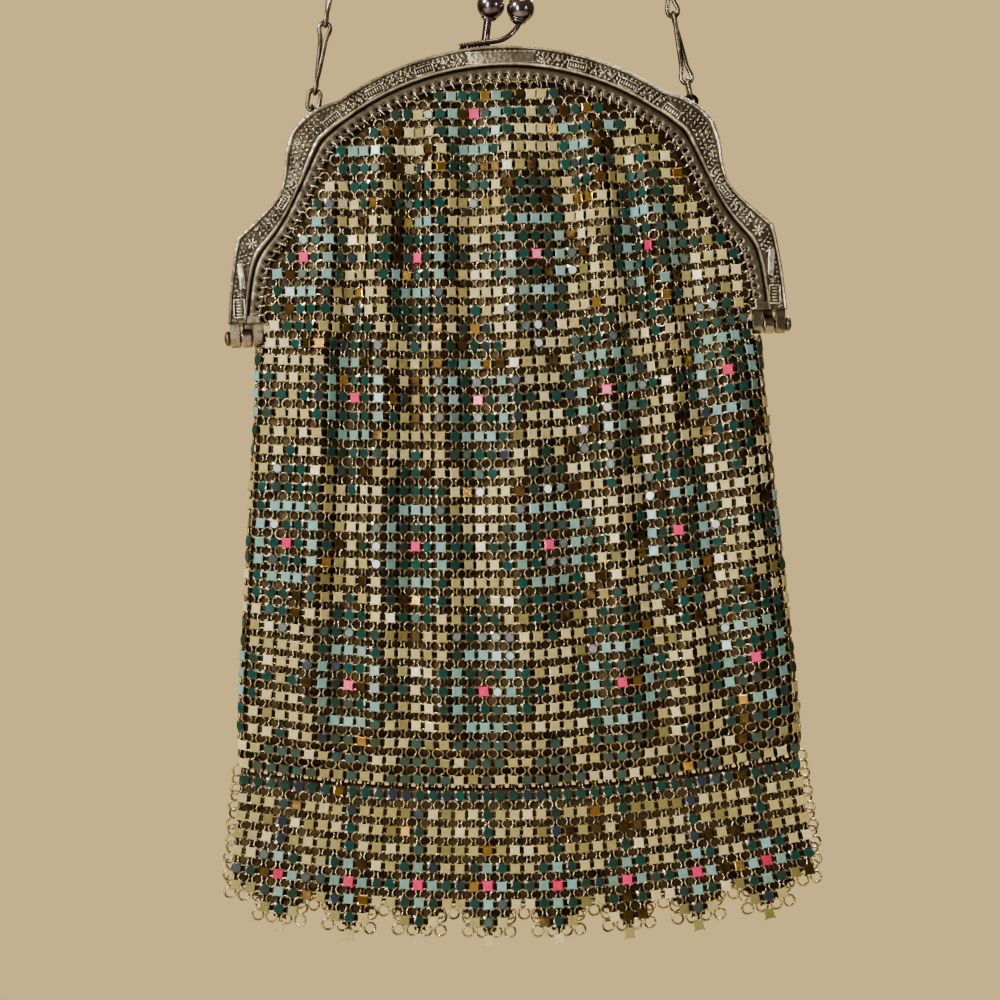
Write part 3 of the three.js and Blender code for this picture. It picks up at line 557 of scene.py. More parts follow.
def edge_path(name, radius, sharp=()):
    scale = np.array([FRAME_HALF_WIDTH, FRAME_HEIGHT])
    side = [np.array(row[name]) * scale for row in FRAME_SIDE]
    start = math.radians(ARCH_START)
    first = np.array([radius * math.sin(start), ARCH_CENTRE + radius * math.cos(start)])
    right = spline([*side, first], 6, sharp)
    angles = np.linspace(start, -start, 61)[1:-1]
    arch = np.stack([radius * np.sin(angles), ARCH_CENTRE + radius * np.cos(angles)], axis=1)
    left = right[::-1] * np.array([-1, 1])
    return np.concatenate([right, arch, left])


SIDE_POINTS = 6 * len(FRAME_SIDE) + 1
OUTER = edge_path("outer", ARCH_RADIUS, OUTER_CORNERS)
RIDGE = edge_path("ridge", ARCH_RADIUS - BAND_WIDTH)
INNER = edge_path("inner", ARCH_RADIUS - BAND_WIDTH - FLANGE_WIDTH)


def across(share):
    """Points of the strip: share 0 is the outer edge, 1 the ridge and 2 the inner edge."""
    if share <= 1:
        return OUTER + (RIDGE - OUTER) * share
    return RIDGE + (INNER - RIDGE) * (share - 1)


def even_points(path, count, ends=0.0):
    """Places an even distance apart along a path, and the way the path runs there."""
    steps = np.linalg.norm(np.diff(path, axis=0), axis=1)
    reach = np.concatenate([[0], np.cumsum(steps)])
    wanted = np.linspace(ends, reach[-1] - ends, count)
    places = np.stack([np.interp(wanted, reach, path[:, k]) for k in range(2)], axis=1)
    ahead = np.stack([np.interp(wanted + 0.3, reach, path[:, k]) for k in range(2)], axis=1)
    behind = np.stack([np.interp(wanted - 0.3, reach, path[:, k]) for k in range(2)], axis=1)
    ways = ahead - behind
    return places, ways / np.linalg.norm(ways, axis=1)[:, None]


# The bag's surface, the same as the solid's

def table(level, name):
    return np.interp(level, [row["height"] for row in BAG_LEVELS], [row[name] for row in BAG_LEVELS])


def fold_out(share):
    places = np.array([fold[0] for fold in FOLDS])
    outs = np.array([fold[1] for fold in FOLDS])
    i = np.clip(np.searchsorted(places, share), 1, len(FOLDS) - 1)
    part = np.clip((share - places[i - 1]) / (places[i] - places[i - 1]), 0, 1)
    return outs[i - 1] + (outs[i] - outs[i - 1]) * (1 - np.cos(np.pi * part)) / 2


def seam_z(share):
    return -BAG_DROP + SEAM_RISE * share ** 2


def smooth_step(low, high, value):
    part = np.clip((value - low) / (high - low), 0, 1)
    return part * part * (3 - 2 * part)


EDGE = INNER[::3]


def edge_distance(x, z):
    nearest = np.full(np.shape(x), 1e9)
    for a, b in zip(EDGE[:-1], EDGE[1:]):
        way = b - a
        part = np.clip(((x - a[0]) * way[0] + (z - a[1]) * way[1]) / way.dot(way), 0, 1)
        nearest = np.minimum(nearest, np.hypot(x - a[0] - part * way[0], z - a[1] - part * way[1]))
    return nearest


def bag_x(turn, level):
    width = table(level, "width") * BAG_HALF_WIDTH
    flat = 1 - SIDE_ROUND / width
    size = np.abs(turn)
    angle = np.clip((size - flat) / (1 - flat), 0, 1) * np.pi / 2
    x = np.where(size > flat, width - SIDE_ROUND + SIDE_ROUND * np.sin(angle), size * width)
    return np.sign(turn) * x, angle, width


def bag_point(turn, level, facing):
    x, angle, width = bag_x(turn, level)
    share = x / width
    z = np.where(level > 0, level * FRAME_HEIGHT, -level * seam_z(share))
    gathered = smooth_step(0, GATHER, edge_distance(x, z))
    full = table(level, "depth") * BAG_HALF_DEPTH
    fold = table(level, "fold") * FOLD_DEPTH
    above = smooth_step(-0.03, 0.1, level)
    rounding = np.cos(angle) * (1 - above) + above
    seat = np.where(level < -0.3, full, EDGE_DEPTH + (full - EDGE_DEPTH) * gathered)
    depth = (seat + fold * gathered * fold_out(facing * share)) * rounding
    return np.stack([x, -facing * depth, z], axis=-1)


def row_height(row, share):
    """Rows hang in shallow curves: highest at the sides, and higher at the right than at the left."""
    base = np.interp(row, [0, 8, 16, 24, 32, SEAM_ROW], [TOP_ROW_Z, 14.0, -13.2, -41.2, -68.7, -BAG_DROP])
    base = base + np.where(row < 0, -row * ROW_PITCH, 0)
    lean = share + 0.08 * (1 - row / SEAM_ROW)
    strength = np.interp(row, [0, 8, 16, 32, SEAM_ROW], [0.3, 0.5, 1.0, 0.8, 0.0])
    rise = np.where(lean > 0, 5.2, 2.8) * np.abs(lean) ** 1.6 * strength
    seam = SEAM_RISE * share ** 2 * np.interp(row, [24, SEAM_ROW], [0, 1])
    return base + rise + seam


def row_levels(row, turns):
    level = np.full(turns.shape, row_height(row, 0.0) / BAG_DROP)
    for _ in range(3):
        x, _, width = bag_x(turns, level)
        share = x / width
        z = row_height(row, share)
        level = np.where(z > 0, z / FRAME_HEIGHT, -z / seam_z(share))
    return np.clip(level, -1, 0.95)


def lattice_row(row, columns, facing):
    """Turn and level of places in a row, an even length of mesh apart from side to side."""
    turns = np.linspace(-1, 1, 700)
    levels = row_levels(row, turns)
    points = bag_point(turns, levels, facing)
    steps = np.diff(points, axis=0) * np.array([1.0, FOLD_SHARE, 1.0])
    reach = np.concatenate([[0], np.cumsum(np.linalg.norm(steps, axis=1))])
    wanted = np.asarray(columns) / COLUMNS * reach[-1]
    return np.interp(wanted, reach, turns), np.interp(wanted, reach, levels)


def frames_on(point_at, turn, level, facing):
    """Places with their axes: across, up and outward, one row each. Outward is away from the other layer."""
    step = 0.006
    places = point_at(turn, level, facing)
    right = point_at(np.clip(turn + step, -1, 1), level, facing)
    left = point_at(np.clip(turn - step, -1, 1), level, facing)
    side = (right - left) * facing
    up = point_at(turn, level + step, facing) - point_at(turn, level - step, facing)
    side /= np.linalg.norm(side, axis=1)[:, None]
    out = np.cross(side, up)
    out /= np.linalg.norm(out, axis=1)[:, None]
    up = np.cross(out, side)
    return places, np.stack([side, up, out], axis=1)


def tilted(axes, degrees):
    """Each copy's axes with a small seeded tilt, since no two plates hang alike."""
    spin = np.radians(numbers.normal(0, degrees, (len(axes), 3)))
    out = axes.copy()
    for i, (a, b, c) in enumerate(spin):
        turn = Matrix.Rotation(a, 3, "X") @ Matrix.Rotation(b, 3, "Y") @ Matrix.Rotation(c * 0.5, 3, "Z")
        out[i] = np.array(turn) @ axes[i]
    return out


def star_base(bm, lift, thick):
    """A stamped blank with an arm at each corner, the arms bent back to hook the rings."""
    made = bmesh.ops.create_circle(bm, cap_ends=True, segments=16, radius=1.0)
    corners = sorted(made["verts"], key=lambda vertex: math.atan2(vertex.co.y, vertex.co.x))
    for i, vertex in enumerate(corners):
        quadrant, spot = divmod(i, 4)
        x, y, z = PLATE_OUTLINE[spot]
        turn = Matrix.Rotation(math.radians(-180 + 90 * quadrant), 3, "Z")
        vertex.co = turn @ Vector((x, y, z + lift))
    flat = list({face for vertex in corners for face in vertex.link_faces})
    raised = bmesh.ops.extrude_face_region(bm, geom=flat)["geom"]
    upper = [item for item in raised if isinstance(item, bmesh.types.BMVert)]
    bmesh.ops.translate(bm, vec=(0, 0, thick), verts=upper)
    return [item for item in raised if isinstance(item, bmesh.types.BMFace)][0]


def round_edge(bm, face, inset, rise):
    bmesh.ops.inset_region(bm, faces=[face], thickness=inset, depth=rise, use_even_offset=False)


def plate_template():
    """A plate enamelled to the ends of its arms, with a bare back: slot 0 is the back, 1 the enamel."""
    bm = bmesh.new()
    face = star_base(bm, 0.0, 0.2)
    round_edge(bm, face, 0.13, 0.07)
    for vertex in face.verts:
        vertex.co.z = PLATE_TOP
    bmesh.ops.recalc_face_normals(bm, faces=bm.faces)
    bm.normal_update()
    slots = [0 if face.normal.z < -0.3 else 1 for face in bm.faces]
    return (*template_arrays(bm), slots)


def dome_template():
    """A bare blank with a flat round disc of enamel: slot 0 is its back, 1 its bare front, 2 the enamel."""
    bm = bmesh.new()
    star_base(bm, 0.0, 0.16)
    dome = bmesh.ops.create_circle(bm, cap_ends=True, segments=14, radius=DOME_RADIUS)
    bmesh.ops.translate(bm, vec=(0, 0, DISC_BASE), verts=dome["verts"])
    flat = dome["verts"][0].link_faces[:]
    raised = bmesh.ops.extrude_face_region(bm, geom=flat)["geom"]
    upper = [item for item in raised if isinstance(item, bmesh.types.BMVert)]
    bmesh.ops.translate(bm, vec=(0, 0, DISC_THICKNESS), verts=upper)
    top = [item for item in raised if isinstance(item, bmesh.types.BMFace)][0]
    round_edge(bm, top, 0.2, 0.05)
    bmesh.ops.recalc_face_normals(bm, faces=bm.faces)
    bm.normal_update()
    slots = []
    for face in bm.faces:
        on_disc = all(
            vertex.co.z > DISC_BASE - 0.01
            and math.hypot(vertex.co.x, vertex.co.y) < DOME_RADIUS + 0.01
            for vertex in face.verts
        )
        slots.append(2 if on_disc else 0 if face.normal.z < -0.3 else 1)
    return (*template_arrays(bm), slots)


def ring_template():
    """A ring of round wire, lying flat."""
    bm = bmesh.new()
    made = bmesh.ops.create_circle(bm, cap_ends=False, segments=4, radius=RING_WIRE)
    bmesh.ops.rotate(bm, verts=made["verts"], matrix=Matrix.Rotation(math.radians(90), 3, "X"))
    bmesh.ops.translate(bm, verts=made["verts"], vec=(RING_RADIUS, 0, 0))
    bmesh.ops.spin(
        bm, geom=bm.edges[:], cent=(0, 0, 0), axis=(0, 0, 1), dvec=(0, 0, 0), angle=2 * math.pi, steps=10,
        use_merge=True, use_duplicate=False,
    )
    bmesh.ops.remove_doubles(bm, verts=bm.verts, dist=0.001)
    bmesh.ops.recalc_face_normals(bm, faces=bm.faces)
    return template_arrays(bm)


def chart_glaze(row, column):
    if (row, column) == BARE_PLATE:
        return "G"
    down = row % 16
    sideways = (column - 8) % 10
    return CHART[min(down, 16 - down)][min(sideways, 10 - sideways)]


def fringe_glaze(row, column):
    sideways = (column - 3) % 5
    return FRINGE_CHART[row][min(sideways, 5 - sideways)]


def worn(glaze):
    """Now and then a plate has lost its colour to brown, or to bare brass."""
    luck = chance.random()
    if glaze == "P":
        return glaze
    if luck < 0.05:
        return "B"
    return "G" if luck < 0.065 else glaze


def inside_frame(x, z):
    """How far inside the frame's inner edge a place lies. Below the hinges the mesh is free."""
    gap = edge_distance(x, z)
    side = INNER[:SIDE_POINTS]
    side_x = np.interp(z, side[:, 1], side[:, 0])
    reach = ARCH_RADIUS - BAND_WIDTH - FLANGE_WIDTH
    arch_x = np.sqrt(np.clip(reach ** 2 - (z - ARCH_CENTRE) ** 2, 0, None))
    edge_x = np.where(z > side[-1, 1], arch_x, side_x)
    inside = np.abs(x) < np.where(z > 2, edge_x, 46.0)
    return np.where(z < -2.4, 99.0, np.where(inside, gap, -gap))


def collect(facing, rows, columns, offset):
    """Every place of the lattice with room around it, with its row and column."""
    turns, levels, tags = [], [], []
    for row in rows:
        turn, level = lattice_row(row, columns, facing)
        turns.append(turn)
        levels.append(level)
        tags += [(row, column) for column in columns]
    turns, levels = np.concatenate(turns), np.concatenate(levels)
    places, axes = frames_on(bag_point, turns, levels, facing)
    room = inside_frame(places[:, 0], places[:, 2])
    keep = room > offset
    return places[keep], axes[keep], [tag for tag, kept in zip(tags, keep) if kept]


PLATE = plate_template()
DOME = dome_template()
RING = ring_template()
SHADE_SHEET_SINK = 0.5
SHADE_SHEET_ROOM = -0.9
PLATE_ROOM = 1.35
RING_ROOM = 0.7


def shades_for(count, middle):
    return np.clip(numbers.normal(middle, 0.28, count), 0, 1)


def lay_plates(part, side, places, axes, glazes, replaced):
    """Lays the plates in two pieces: the dark ones, whose arms are bare, and all the others."""
    lifted = places + axes[:, 2] * 0.2 + numbers.normal(0, 0.04, places.shape)
    lifted[:, 2] += HINGE_Z
    turned = tilted(axes, 4.0)
    # The fringe's plates get darker, more faded colours than the bag's as painted shade: its flared plates
    # face the lamps more.
    shades = shades_for(len(places), 0.6 if part == "mesh" else 0.4)
    glazes = np.array(glazes)
    dark = glazes == "D"
    vertices, faces, slots = DOME
    index = np.tile(np.array(slots), int(dark.sum()))
    name = f"{part}_disc_plates_{side}"
    mesh = lay_copies(name, (vertices, faces), lifted[dark], turned[dark], index, shades[dark])
    add_piece(mesh, name, [BACK_TARNISH_AND_SHADE, BLANK_METAL, ENAMELS["D"]], False, replaced)
    vertices, faces, slots = PLATE
    slots = np.array(slots)
    index = np.concatenate([slots * (1 + GLAZES.index(glaze)) for glaze in glazes[~dark]])
    name = f"{part}_flat_plates_{side}"
    mesh = lay_copies(name, (vertices, faces), lifted[~dark], turned[~dark], index, shades[~dark])
    fronts = [ENAMELS[glaze] for glaze in GLAZES]
    add_piece(mesh, name, [BACK_TARNISH_AND_SHADE, *fronts], False, replaced)


def lay_rings(name, places, axes, replaced):
    lifted = places + numbers.normal(0, 0.04, places.shape)
    lifted[:, 2] += HINGE_Z
    mesh = lay_copies(name, RING, lifted, tilted(axes, 5.0))
    return add_piece(mesh, name, [RING_METAL], True, replaced)


def make_shade_sheet(facing, side):
    """A dark sheet of painted shade close behind a layer's plates, inside the bag: what shows between the
    plates and the rings.
    """
    bm = bmesh.new()
    bmesh.ops.create_grid(bm, x_segments=120, y_segments=66, size=1.0)
    grid = np.array([vertex.co[:] for vertex in bm.verts])
    lowest, highest = SHADE_SHEET_LEVELS
    levels = -1 + (grid[:, 1] + 1) / 2 * (1 + highest)
    places, axes = frames_on(bag_point, grid[:, 0], np.clip(levels, lowest, highest), facing)
    moved = places - axes[:, 2] * SHADE_SHEET_SINK
    for vertex, place in zip(bm.verts, moved):
        vertex.co = place
    room = inside_frame(moved[:, 0], moved[:, 2])
    outside = [vertex for vertex, space in zip(bm.verts, room) if space < SHADE_SHEET_ROOM]
    bmesh.ops.delete(bm, geom=outside, context="VERTS")
    bmesh.ops.recalc_face_normals(bm, faces=bm.faces)
    bmesh.ops.solidify(bm, geom=bm.faces[:], thickness=0.1)
    raise_to_hinge(bm)
    finish_piece(bm, f"mesh_shade_sheet_{side}", [BACK_TARNISH_AND_SHADE], True, ("mesh_bag",))


def make_bag():
    """The two flaps hang half a plate out of step, so that each closes the holes of the other."""
    for facing, side, step in ((1, "front", 0.0), (-1, "back", -0.5)):
        columns = np.arange(0.5 - step, COLUMNS + step)
        rows = np.arange(-2.0 + step, SEAM_ROW)
        places, axes, tags = collect(facing, rows, columns, PLATE_ROOM)
        glazes = [worn(chart_glaze(math.ceil(row), int(column))) for row, column in tags]
        lay_plates("mesh", side, places, axes, glazes, ("mesh_bag",))
        ring_columns = np.arange(0.0 - step, COLUMNS + 1)
        places, axes, _ = collect(facing, rows - 0.5, ring_columns, RING_ROOM)
        lay_rings(f"mesh_rings_{side}", places, axes, ("mesh_bag",))
        make_shade_sheet(facing, side)


def fringe_point(share, down, facing):
    """A place in a layer of the fringe: share runs across and down counts rows from the seam."""
    width = BAG_HALF_WIDTH + (FRINGE_HALF_WIDTH - BAG_HALF_WIDTH) * np.clip(down / 5, 0, 1)
    z = seam_z(share) - down * ROW_PITCH * (1.0 - 0.03 * share ** 2)
    wave = 0.5 * np.sin(share * 9 + facing) * down / FRINGE_ROWS
    stand = 0.5 + (FRINGE_FLARE + 0.3) * np.clip(down / FRINGE_ROWS, 0, 1) + wave
    stand = stand * np.clip(down * 1.5, 0, 1)
    return np.stack([share * width, -facing * stand, z], axis=-1)


def fringe_above(share, height, facing):
    return fringe_point(share, -height, facing)


def fringe_frames(shares, downs, facing):
    return frames_on(fringe_above, shares, -downs, facing)


def fringe_shade_sheet(facing, side):
    """A dark sheet of painted shade inside a fringe layer, cut to its points."""
    bm = bmesh.new()
    bmesh.ops.create_grid(bm, x_segments=210, y_segments=36, size=1.0)
    grid = np.array([vertex.co[:] for vertex in bm.verts])
    shares = grid[:, 0] * SHADE_SHEET_WIDTH
    downs = (1 - grid[:, 1]) / 2 * FRINGE_ROWS
    column = (shares + 1) / 2 * COLUMNS - 0.5
    aside = np.abs((column - 3 + 2.5) % 5 - 2.5)
    places = fringe_point(shares, downs, facing)
    places[:, 1] *= 0.7
    places[:, 1] -= facing * 0.06
    for vertex, place in zip(bm.verts, places):
        vertex.co = place
    beyond = [vertex for vertex, down, off in zip(bm.verts, downs, aside) if down > 8.4 - 0.75 * off]
    bmesh.ops.delete(bm, geom=beyond, context="VERTS")
    bmesh.ops.recalc_face_normals(bm, faces=bm.faces)
    bmesh.ops.solidify(bm, geom=bm.faces[:], thickness=0.1)
    raise_to_hinge(bm)
    finish_piece(bm, f"fringe_shade_sheet_{side}", [BACK_TARNISH_AND_SHADE], True, (f"fringe_{side}",))


def make_fringe():
    for facing, side, aside in ((1, "front", 0.0), (-1, "back", 0.45)):
        shares, downs, glazes = [], [], []
        rings = set()
        for row in range(FRINGE_ROWS):
            for column in range(COLUMNS):
                glaze = fringe_glaze(row, column)
                if glaze == " ":
                    continue
                shares.append((column + 0.5) / COLUMNS * 2 - 1)
                downs.append(row + 0.5)
                glazes.append(worn(glaze))
                corners = [(row, column), (row, column + 1)]
                if row < FRINGE_ROWS - 1:
                    corners += [(row + 1, column), (row + 1, column + 1)]
                rings.update(corners)
        places, axes = fringe_frames(np.array(shares), np.array(downs) - aside, facing)
        lay_plates("fringe", side, places, axes, glazes, (f"fringe_{side}",))
        spots = sorted(spot for spot in rings if facing == 1 or spot[0] > 0)
        ring_shares = np.array([column / COLUMNS * 2 - 1 for _, column in spots])
        ring_downs = np.array([float(row) for row, _ in spots])
        places, axes = fringe_frames(ring_shares, ring_downs - aside, facing)
        lay_rings(f"fringe_rings_{side}", places, axes, (f"fringe_{side}",))
        fringe_shade_sheet(facing, side)


# The frame

CHANNEL = [
    (0.0, PARTING), (0.0, 3.85), (0.08, 4.1), (0.28, 4.24), (0.5, 4.14), (0.62, 3.9), (3.12, 3.9),
    (3.24, 4.22), (3.44, 4.42), (3.64, 4.22), (3.8, 3.85), (3.95, FLANGE_FRONT - 0.1), (3.95, FLANGE_BACK),
    (RIM_WALL, FLANGE_BACK), (RIM_WALL, PARTING),
]


def share_of(width):
    return width / BAND_WIDTH if width <= BAND_WIDTH else 1 + (width - BAND_WIDTH) / FLANGE_WIDTH


def channel(bm, facing):
    lines = [(across(share_of(width)), depth) for width, depth in CHANNEL]
    loops = [
        [Vector((line[i][0], -facing * depth, line[i][1])) for line, depth in lines]
        for i in range(len(OUTER))
    ]
    sweep(bm, loops)


def flange(bm, facing):
    """The flange with its stitch holes: a strip of cells, each with its middle taken out."""
    outer, _ = even_points(across(share_of(3.8)), STITCH_HOLES + 1)
    middle, _ = even_points(across(share_of(FLANGE_HOLE)), STITCH_HOLES + 1)
    inner, _ = even_points(across(2.0), STITCH_HOLES + 1)
    strip = bmesh.new()
    line = 2 * middle - inner
    rows = [
        [strip.verts.new((x, -facing * FLANGE_FRONT, z)) for x, z in edge]
        for edge in (outer, line, inner)
    ]
    for first, second in zip(rows, rows[1:]):
        for i in range(STITCH_HOLES):
            strip.faces.new((first[i], first[i + 1], second[i + 1], second[i]))
    cells = [face for face in strip.faces if all(vertex in set(rows[1] + rows[2]) for vertex in face.verts)]
    inset = bmesh.ops.inset_individual(strip, faces=cells, thickness=FLANGE_INSET, use_even_offset=True)
    rims = set(inset["faces"])
    for cell in cells:
        if cell not in rims:
            middle_point = cell.calc_center_median()
            for vertex in cell.verts:
                vertex.co = middle_point + (vertex.co - middle_point).normalized() * HOLE_RADIUS
    bmesh.ops.delete(strip, geom=[cell for cell in cells if cell not in rims], context="FACES_ONLY")
    bmesh.ops.recalc_face_normals(strip, faces=strip.faces)
    if strip.faces[0].normal.y * facing > 0:
        bmesh.ops.reverse_faces(strip, faces=strip.faces)
    bmesh.ops.solidify(strip, geom=strip.faces[:], thickness=FLANGE_FRONT - FLANGE_BACK)
    join_into(bm, strip)


def on_band(places, ways, facing, height):
    """Matrices on the band's face: x runs along the band, y across it outward, z out of the face."""
    out = []
    for (x, z), (along_x, along_z) in zip(places, ways):
        along = Vector((along_x, 0, along_z))
        face = Vector((0, -facing, 0))
        side = face.cross(along)
        turn = Matrix((along, side, face)).transposed().to_4x4()
        out.append(Matrix.Translation((x, -facing * height, z)) @ turn)
    return out


def bead(bm, matrix, radius, flat=1.0, detail=2):
    scale = Matrix.Diagonal((1, 1, flat, 1))
    bmesh.ops.create_icosphere(bm, subdivisions=detail, radius=radius, matrix=matrix @ scale)


def petal(bm, matrix, length, width, height):
    scale = Matrix.Diagonal((length, width, height, 1))
    bmesh.ops.create_uvsphere(bm, u_segments=8, v_segments=6, radius=0.5, matrix=matrix @ scale)


def bar(bm, matrix, length, width, height, bevel=0.12):
    made = bmesh.ops.create_cube(bm, size=1.0, matrix=matrix @ Matrix.Diagonal((length, width, height, 1)))
    edges = list({edge for vertex in made["verts"] for edge in vertex.link_edges})
    bmesh.ops.bevel(
        bm, geom=edges, offset=bevel, segments=2, affect="EDGES", profile=0.5, material=-1, clamp_overlap=True
    )


def rosette(bm, matrix, radius, petals):
    for i in range(petals):
        turn = Matrix.Rotation(2 * math.pi * i / petals, 4, "Z")
        place = matrix @ turn @ Matrix.Translation((radius * 0.55, 0, 0))
        petal(bm, place, radius * 0.9, radius * 0.42, 0.34)
    bead(bm, matrix @ Matrix.Translation((0, 0, 0.06)), radius * 0.3)


def scroll(bm, matrix, radius, sign):
    """A raised leaf scroll: a wire that winds in to a bead."""
    points = []
    for i in range(11):
        angle = sign * (0.3 + i * 0.45)
        reach = radius * (1 - 0.065 * i)
        points.append(matrix @ Vector((reach * math.cos(angle), reach * math.sin(angle), 0.04)))
    wire(bm, points, 0.17, 5)
    bead(bm, matrix @ Matrix.Translation((0, 0, 0.05)), 0.26)


def panel(bm, matrix, length, width, flutes):
    """A framed panel: four rails round a row of small upright flutes."""
    for sign in (-1, 1):
        bar(bm, matrix @ Matrix.Translation((0, sign * width / 2, 0)), length, 0.26, 0.36, 0.08)
        bar(bm, matrix @ Matrix.Translation((sign * length / 2, 0, 0)), 0.26, width, 0.36, 0.08)
    for i in range(flutes):
        shift = ((i + 0.5) / flutes - 0.5) * (length - 0.5)
        petal(bm, matrix @ Matrix.Translation((shift, 0, 0)), length / flutes * 0.75, width * 0.72, 0.3)


GROUND = 3.95
BEADING_PITCH = 0.92
RELIEF = 1.5  # the ornament's height against its drawing
LEAF_ROWS = (1.5, 2.1, 2.75)
LEAF_PITCH = 0.95
CARTOUCHE_ROOM = 7.0
# How much of the band each kind of ornament keeps to itself.
ORNAMENT_ROOM = dict(panel=2.1, small_panel=1.6, rosette=1.5, rosette_small=0.9, plain_bar=2.2, fluted=2.1)
# Ornament from the crown to the right: the distance along the arch in degrees, and its kind.
ARCH_ORNAMENT = [
    (9.2, "scrolls"), (12.0, "leaf"), (16.0, "panel"), (20.4, "scrolls"), (23.0, "leaf"), (27.2, "panel"),
    (31.6, "scrolls"), (34.6, "leaf"), (37.8, "panel"),
]
# Ornament down the side, as shares of the frame's half width and height, with its turn and kind.
SIDE_ORNAMENT = [
    (0.722, 0.672, 62, "leaf"), (0.737, 0.61, 80, "scrolls"), (0.752, 0.53, 68, "leaf"),
    (0.789, 0.468, 56, "small_panel"), (0.838, 0.415, 46, "scrolls"), (0.882, 0.372, 40, "leaf"),
    (0.905, 0.326, 0, "rosette"), (0.947, 0.214, 94, "plain_bar"), (0.951, 0.148, 92, "rosette_small"),
    (0.957, 0.1, 91, "fluted"),
]


def ornament(bm, matrix, kind):
    if kind == "scrolls":
        for sign in (-1, 1):
            scroll(bm, matrix @ Matrix.Translation((sign * 0.62, 0, 0)), 0.62, sign)
        petal(bm, matrix @ Matrix.Translation((0, 0.75, 0)), 0.5, 0.8, 0.34)
    elif kind == "leaf":
        for i in range(3):
            turn = Matrix.Rotation(math.radians(-90 + 38 * (i - 1)), 4, "Z")
            petal(bm, matrix @ turn @ Matrix.Translation((0.45, 0, 0)), 1.1, 0.4, 0.34)
        bead(bm, matrix @ Matrix.Translation((0, 0.55, 0)), 0.3)
    elif kind == "panel":
        panel(bm, matrix, 3.5, 1.55, 6)
    elif kind == "small_panel":
        panel(bm, matrix, 2.6, 1.2, 4)
    elif kind == "rosette":
        rosette(bm, matrix, 1.3, 7)
    elif kind == "rosette_small":
        rosette(bm, matrix, 0.75, 6)
    elif kind == "plain_bar":
        bar(bm, matrix, 4.9, 1.25, 0.42, 0.2)
    elif kind == "fluted":
        panel(bm, matrix, 3.4, 2.0, 5)


def leaf_template():
    bm = bmesh.new()
    stretch = Matrix.Diagonal((1.05, 0.42, 1, 1))
    bmesh.ops.create_uvsphere(bm, u_segments=8, v_segments=6, radius=0.5, matrix=stretch)
    return template_arrays(bm)


def leaf_ground(facing, side, spots):
    """Small slanted leaves in three rows over the band, left out where larger ornament stands."""
    seats, axes = [], []
    for row, width in enumerate(LEAF_ROWS):
        line = across(share_of(width))
        length = np.linalg.norm(np.diff(line, axis=0), axis=1).sum()
        places, ways = even_points(line, int(length / LEAF_PITCH), 0.5 + row * 0.3)
        for i, matrix in enumerate(on_band(places, ways, facing, GROUND)):
            x, z = places[i]
            crowded = any(math.hypot(x - spot[0], z - spot[1]) < room for spot, room in spots)
            if crowded or (abs(x) < CARTOUCHE_ROOM and z > FRAME_HEIGHT * 0.75):
                continue
            slant = math.radians((55 if (i + row) % 2 else -50) + chance.uniform(-18, 18))
            high = Matrix.Diagonal((1, 1, chance.uniform(0.5, 0.9), 1))
            turned = matrix @ Matrix.Rotation(slant, 4, "Z") @ high
            seats.append(turned.to_translation())
            axes.append(np.array(turned.to_3x3()).T)
    seats = np.array(seats) + np.array([0, 0, HINGE_Z])
    mesh = lay_copies(f"frame_leaves_{side}", leaf_template(), seats, np.array(axes))
    add_piece(mesh, f"frame_leaves_{side}", [SILVER], True, ())


def frame_ornament(bm, facing):
    middle = ARCH_RADIUS - BAND_WIDTH * 0.6
    spots = []
    for degrees, kind in ARCH_ORNAMENT:
        for sign in (-1, 1):
            angle = math.radians(sign * degrees)
            place = (middle * math.sin(angle), ARCH_CENTRE + middle * math.cos(angle))
            spots.append((place, (-math.cos(angle), math.sin(angle)), kind))
    for x, z, turn, kind in SIDE_ORNAMENT:
        for sign in (-1, 1):
            angle = math.radians(turn)
            place = (sign * x * FRAME_HALF_WIDTH, z * FRAME_HEIGHT)
            spots.append((place, (-math.cos(angle), sign * math.sin(angle)), kind))
    for place, way, kind in spots:
        raised = on_band([place], [way], facing, GROUND + 0.05)[0] @ Matrix.Diagonal((1, 1, RELIEF, 1))
        ornament(bm, raised, kind)
    crown = on_band([(0, ARCH_CENTRE + middle)], [(-1, 0)], facing, GROUND)[0]
    bar(bm, crown, 12.6, 1.9, 0.28, 0.12)
    for sign in (-1, 1):
        bar(bm, crown @ Matrix.Translation((0, sign * 1.05, 0)), 13.4, 0.26, 0.5, 0.08)
    line = across(share_of(1.05))
    length = np.linalg.norm(np.diff(line, axis=0), axis=1).sum()
    places, ways = even_points(line, int(length / BEADING_PITCH), 0.6)
    for matrix in on_band(places, ways, facing, GROUND):
        bead(bm, matrix, 0.33, 0.8, 1)
    return [(place, ORNAMENT_ROOM.get(kind, 0.5)) for place, _, kind in spots]


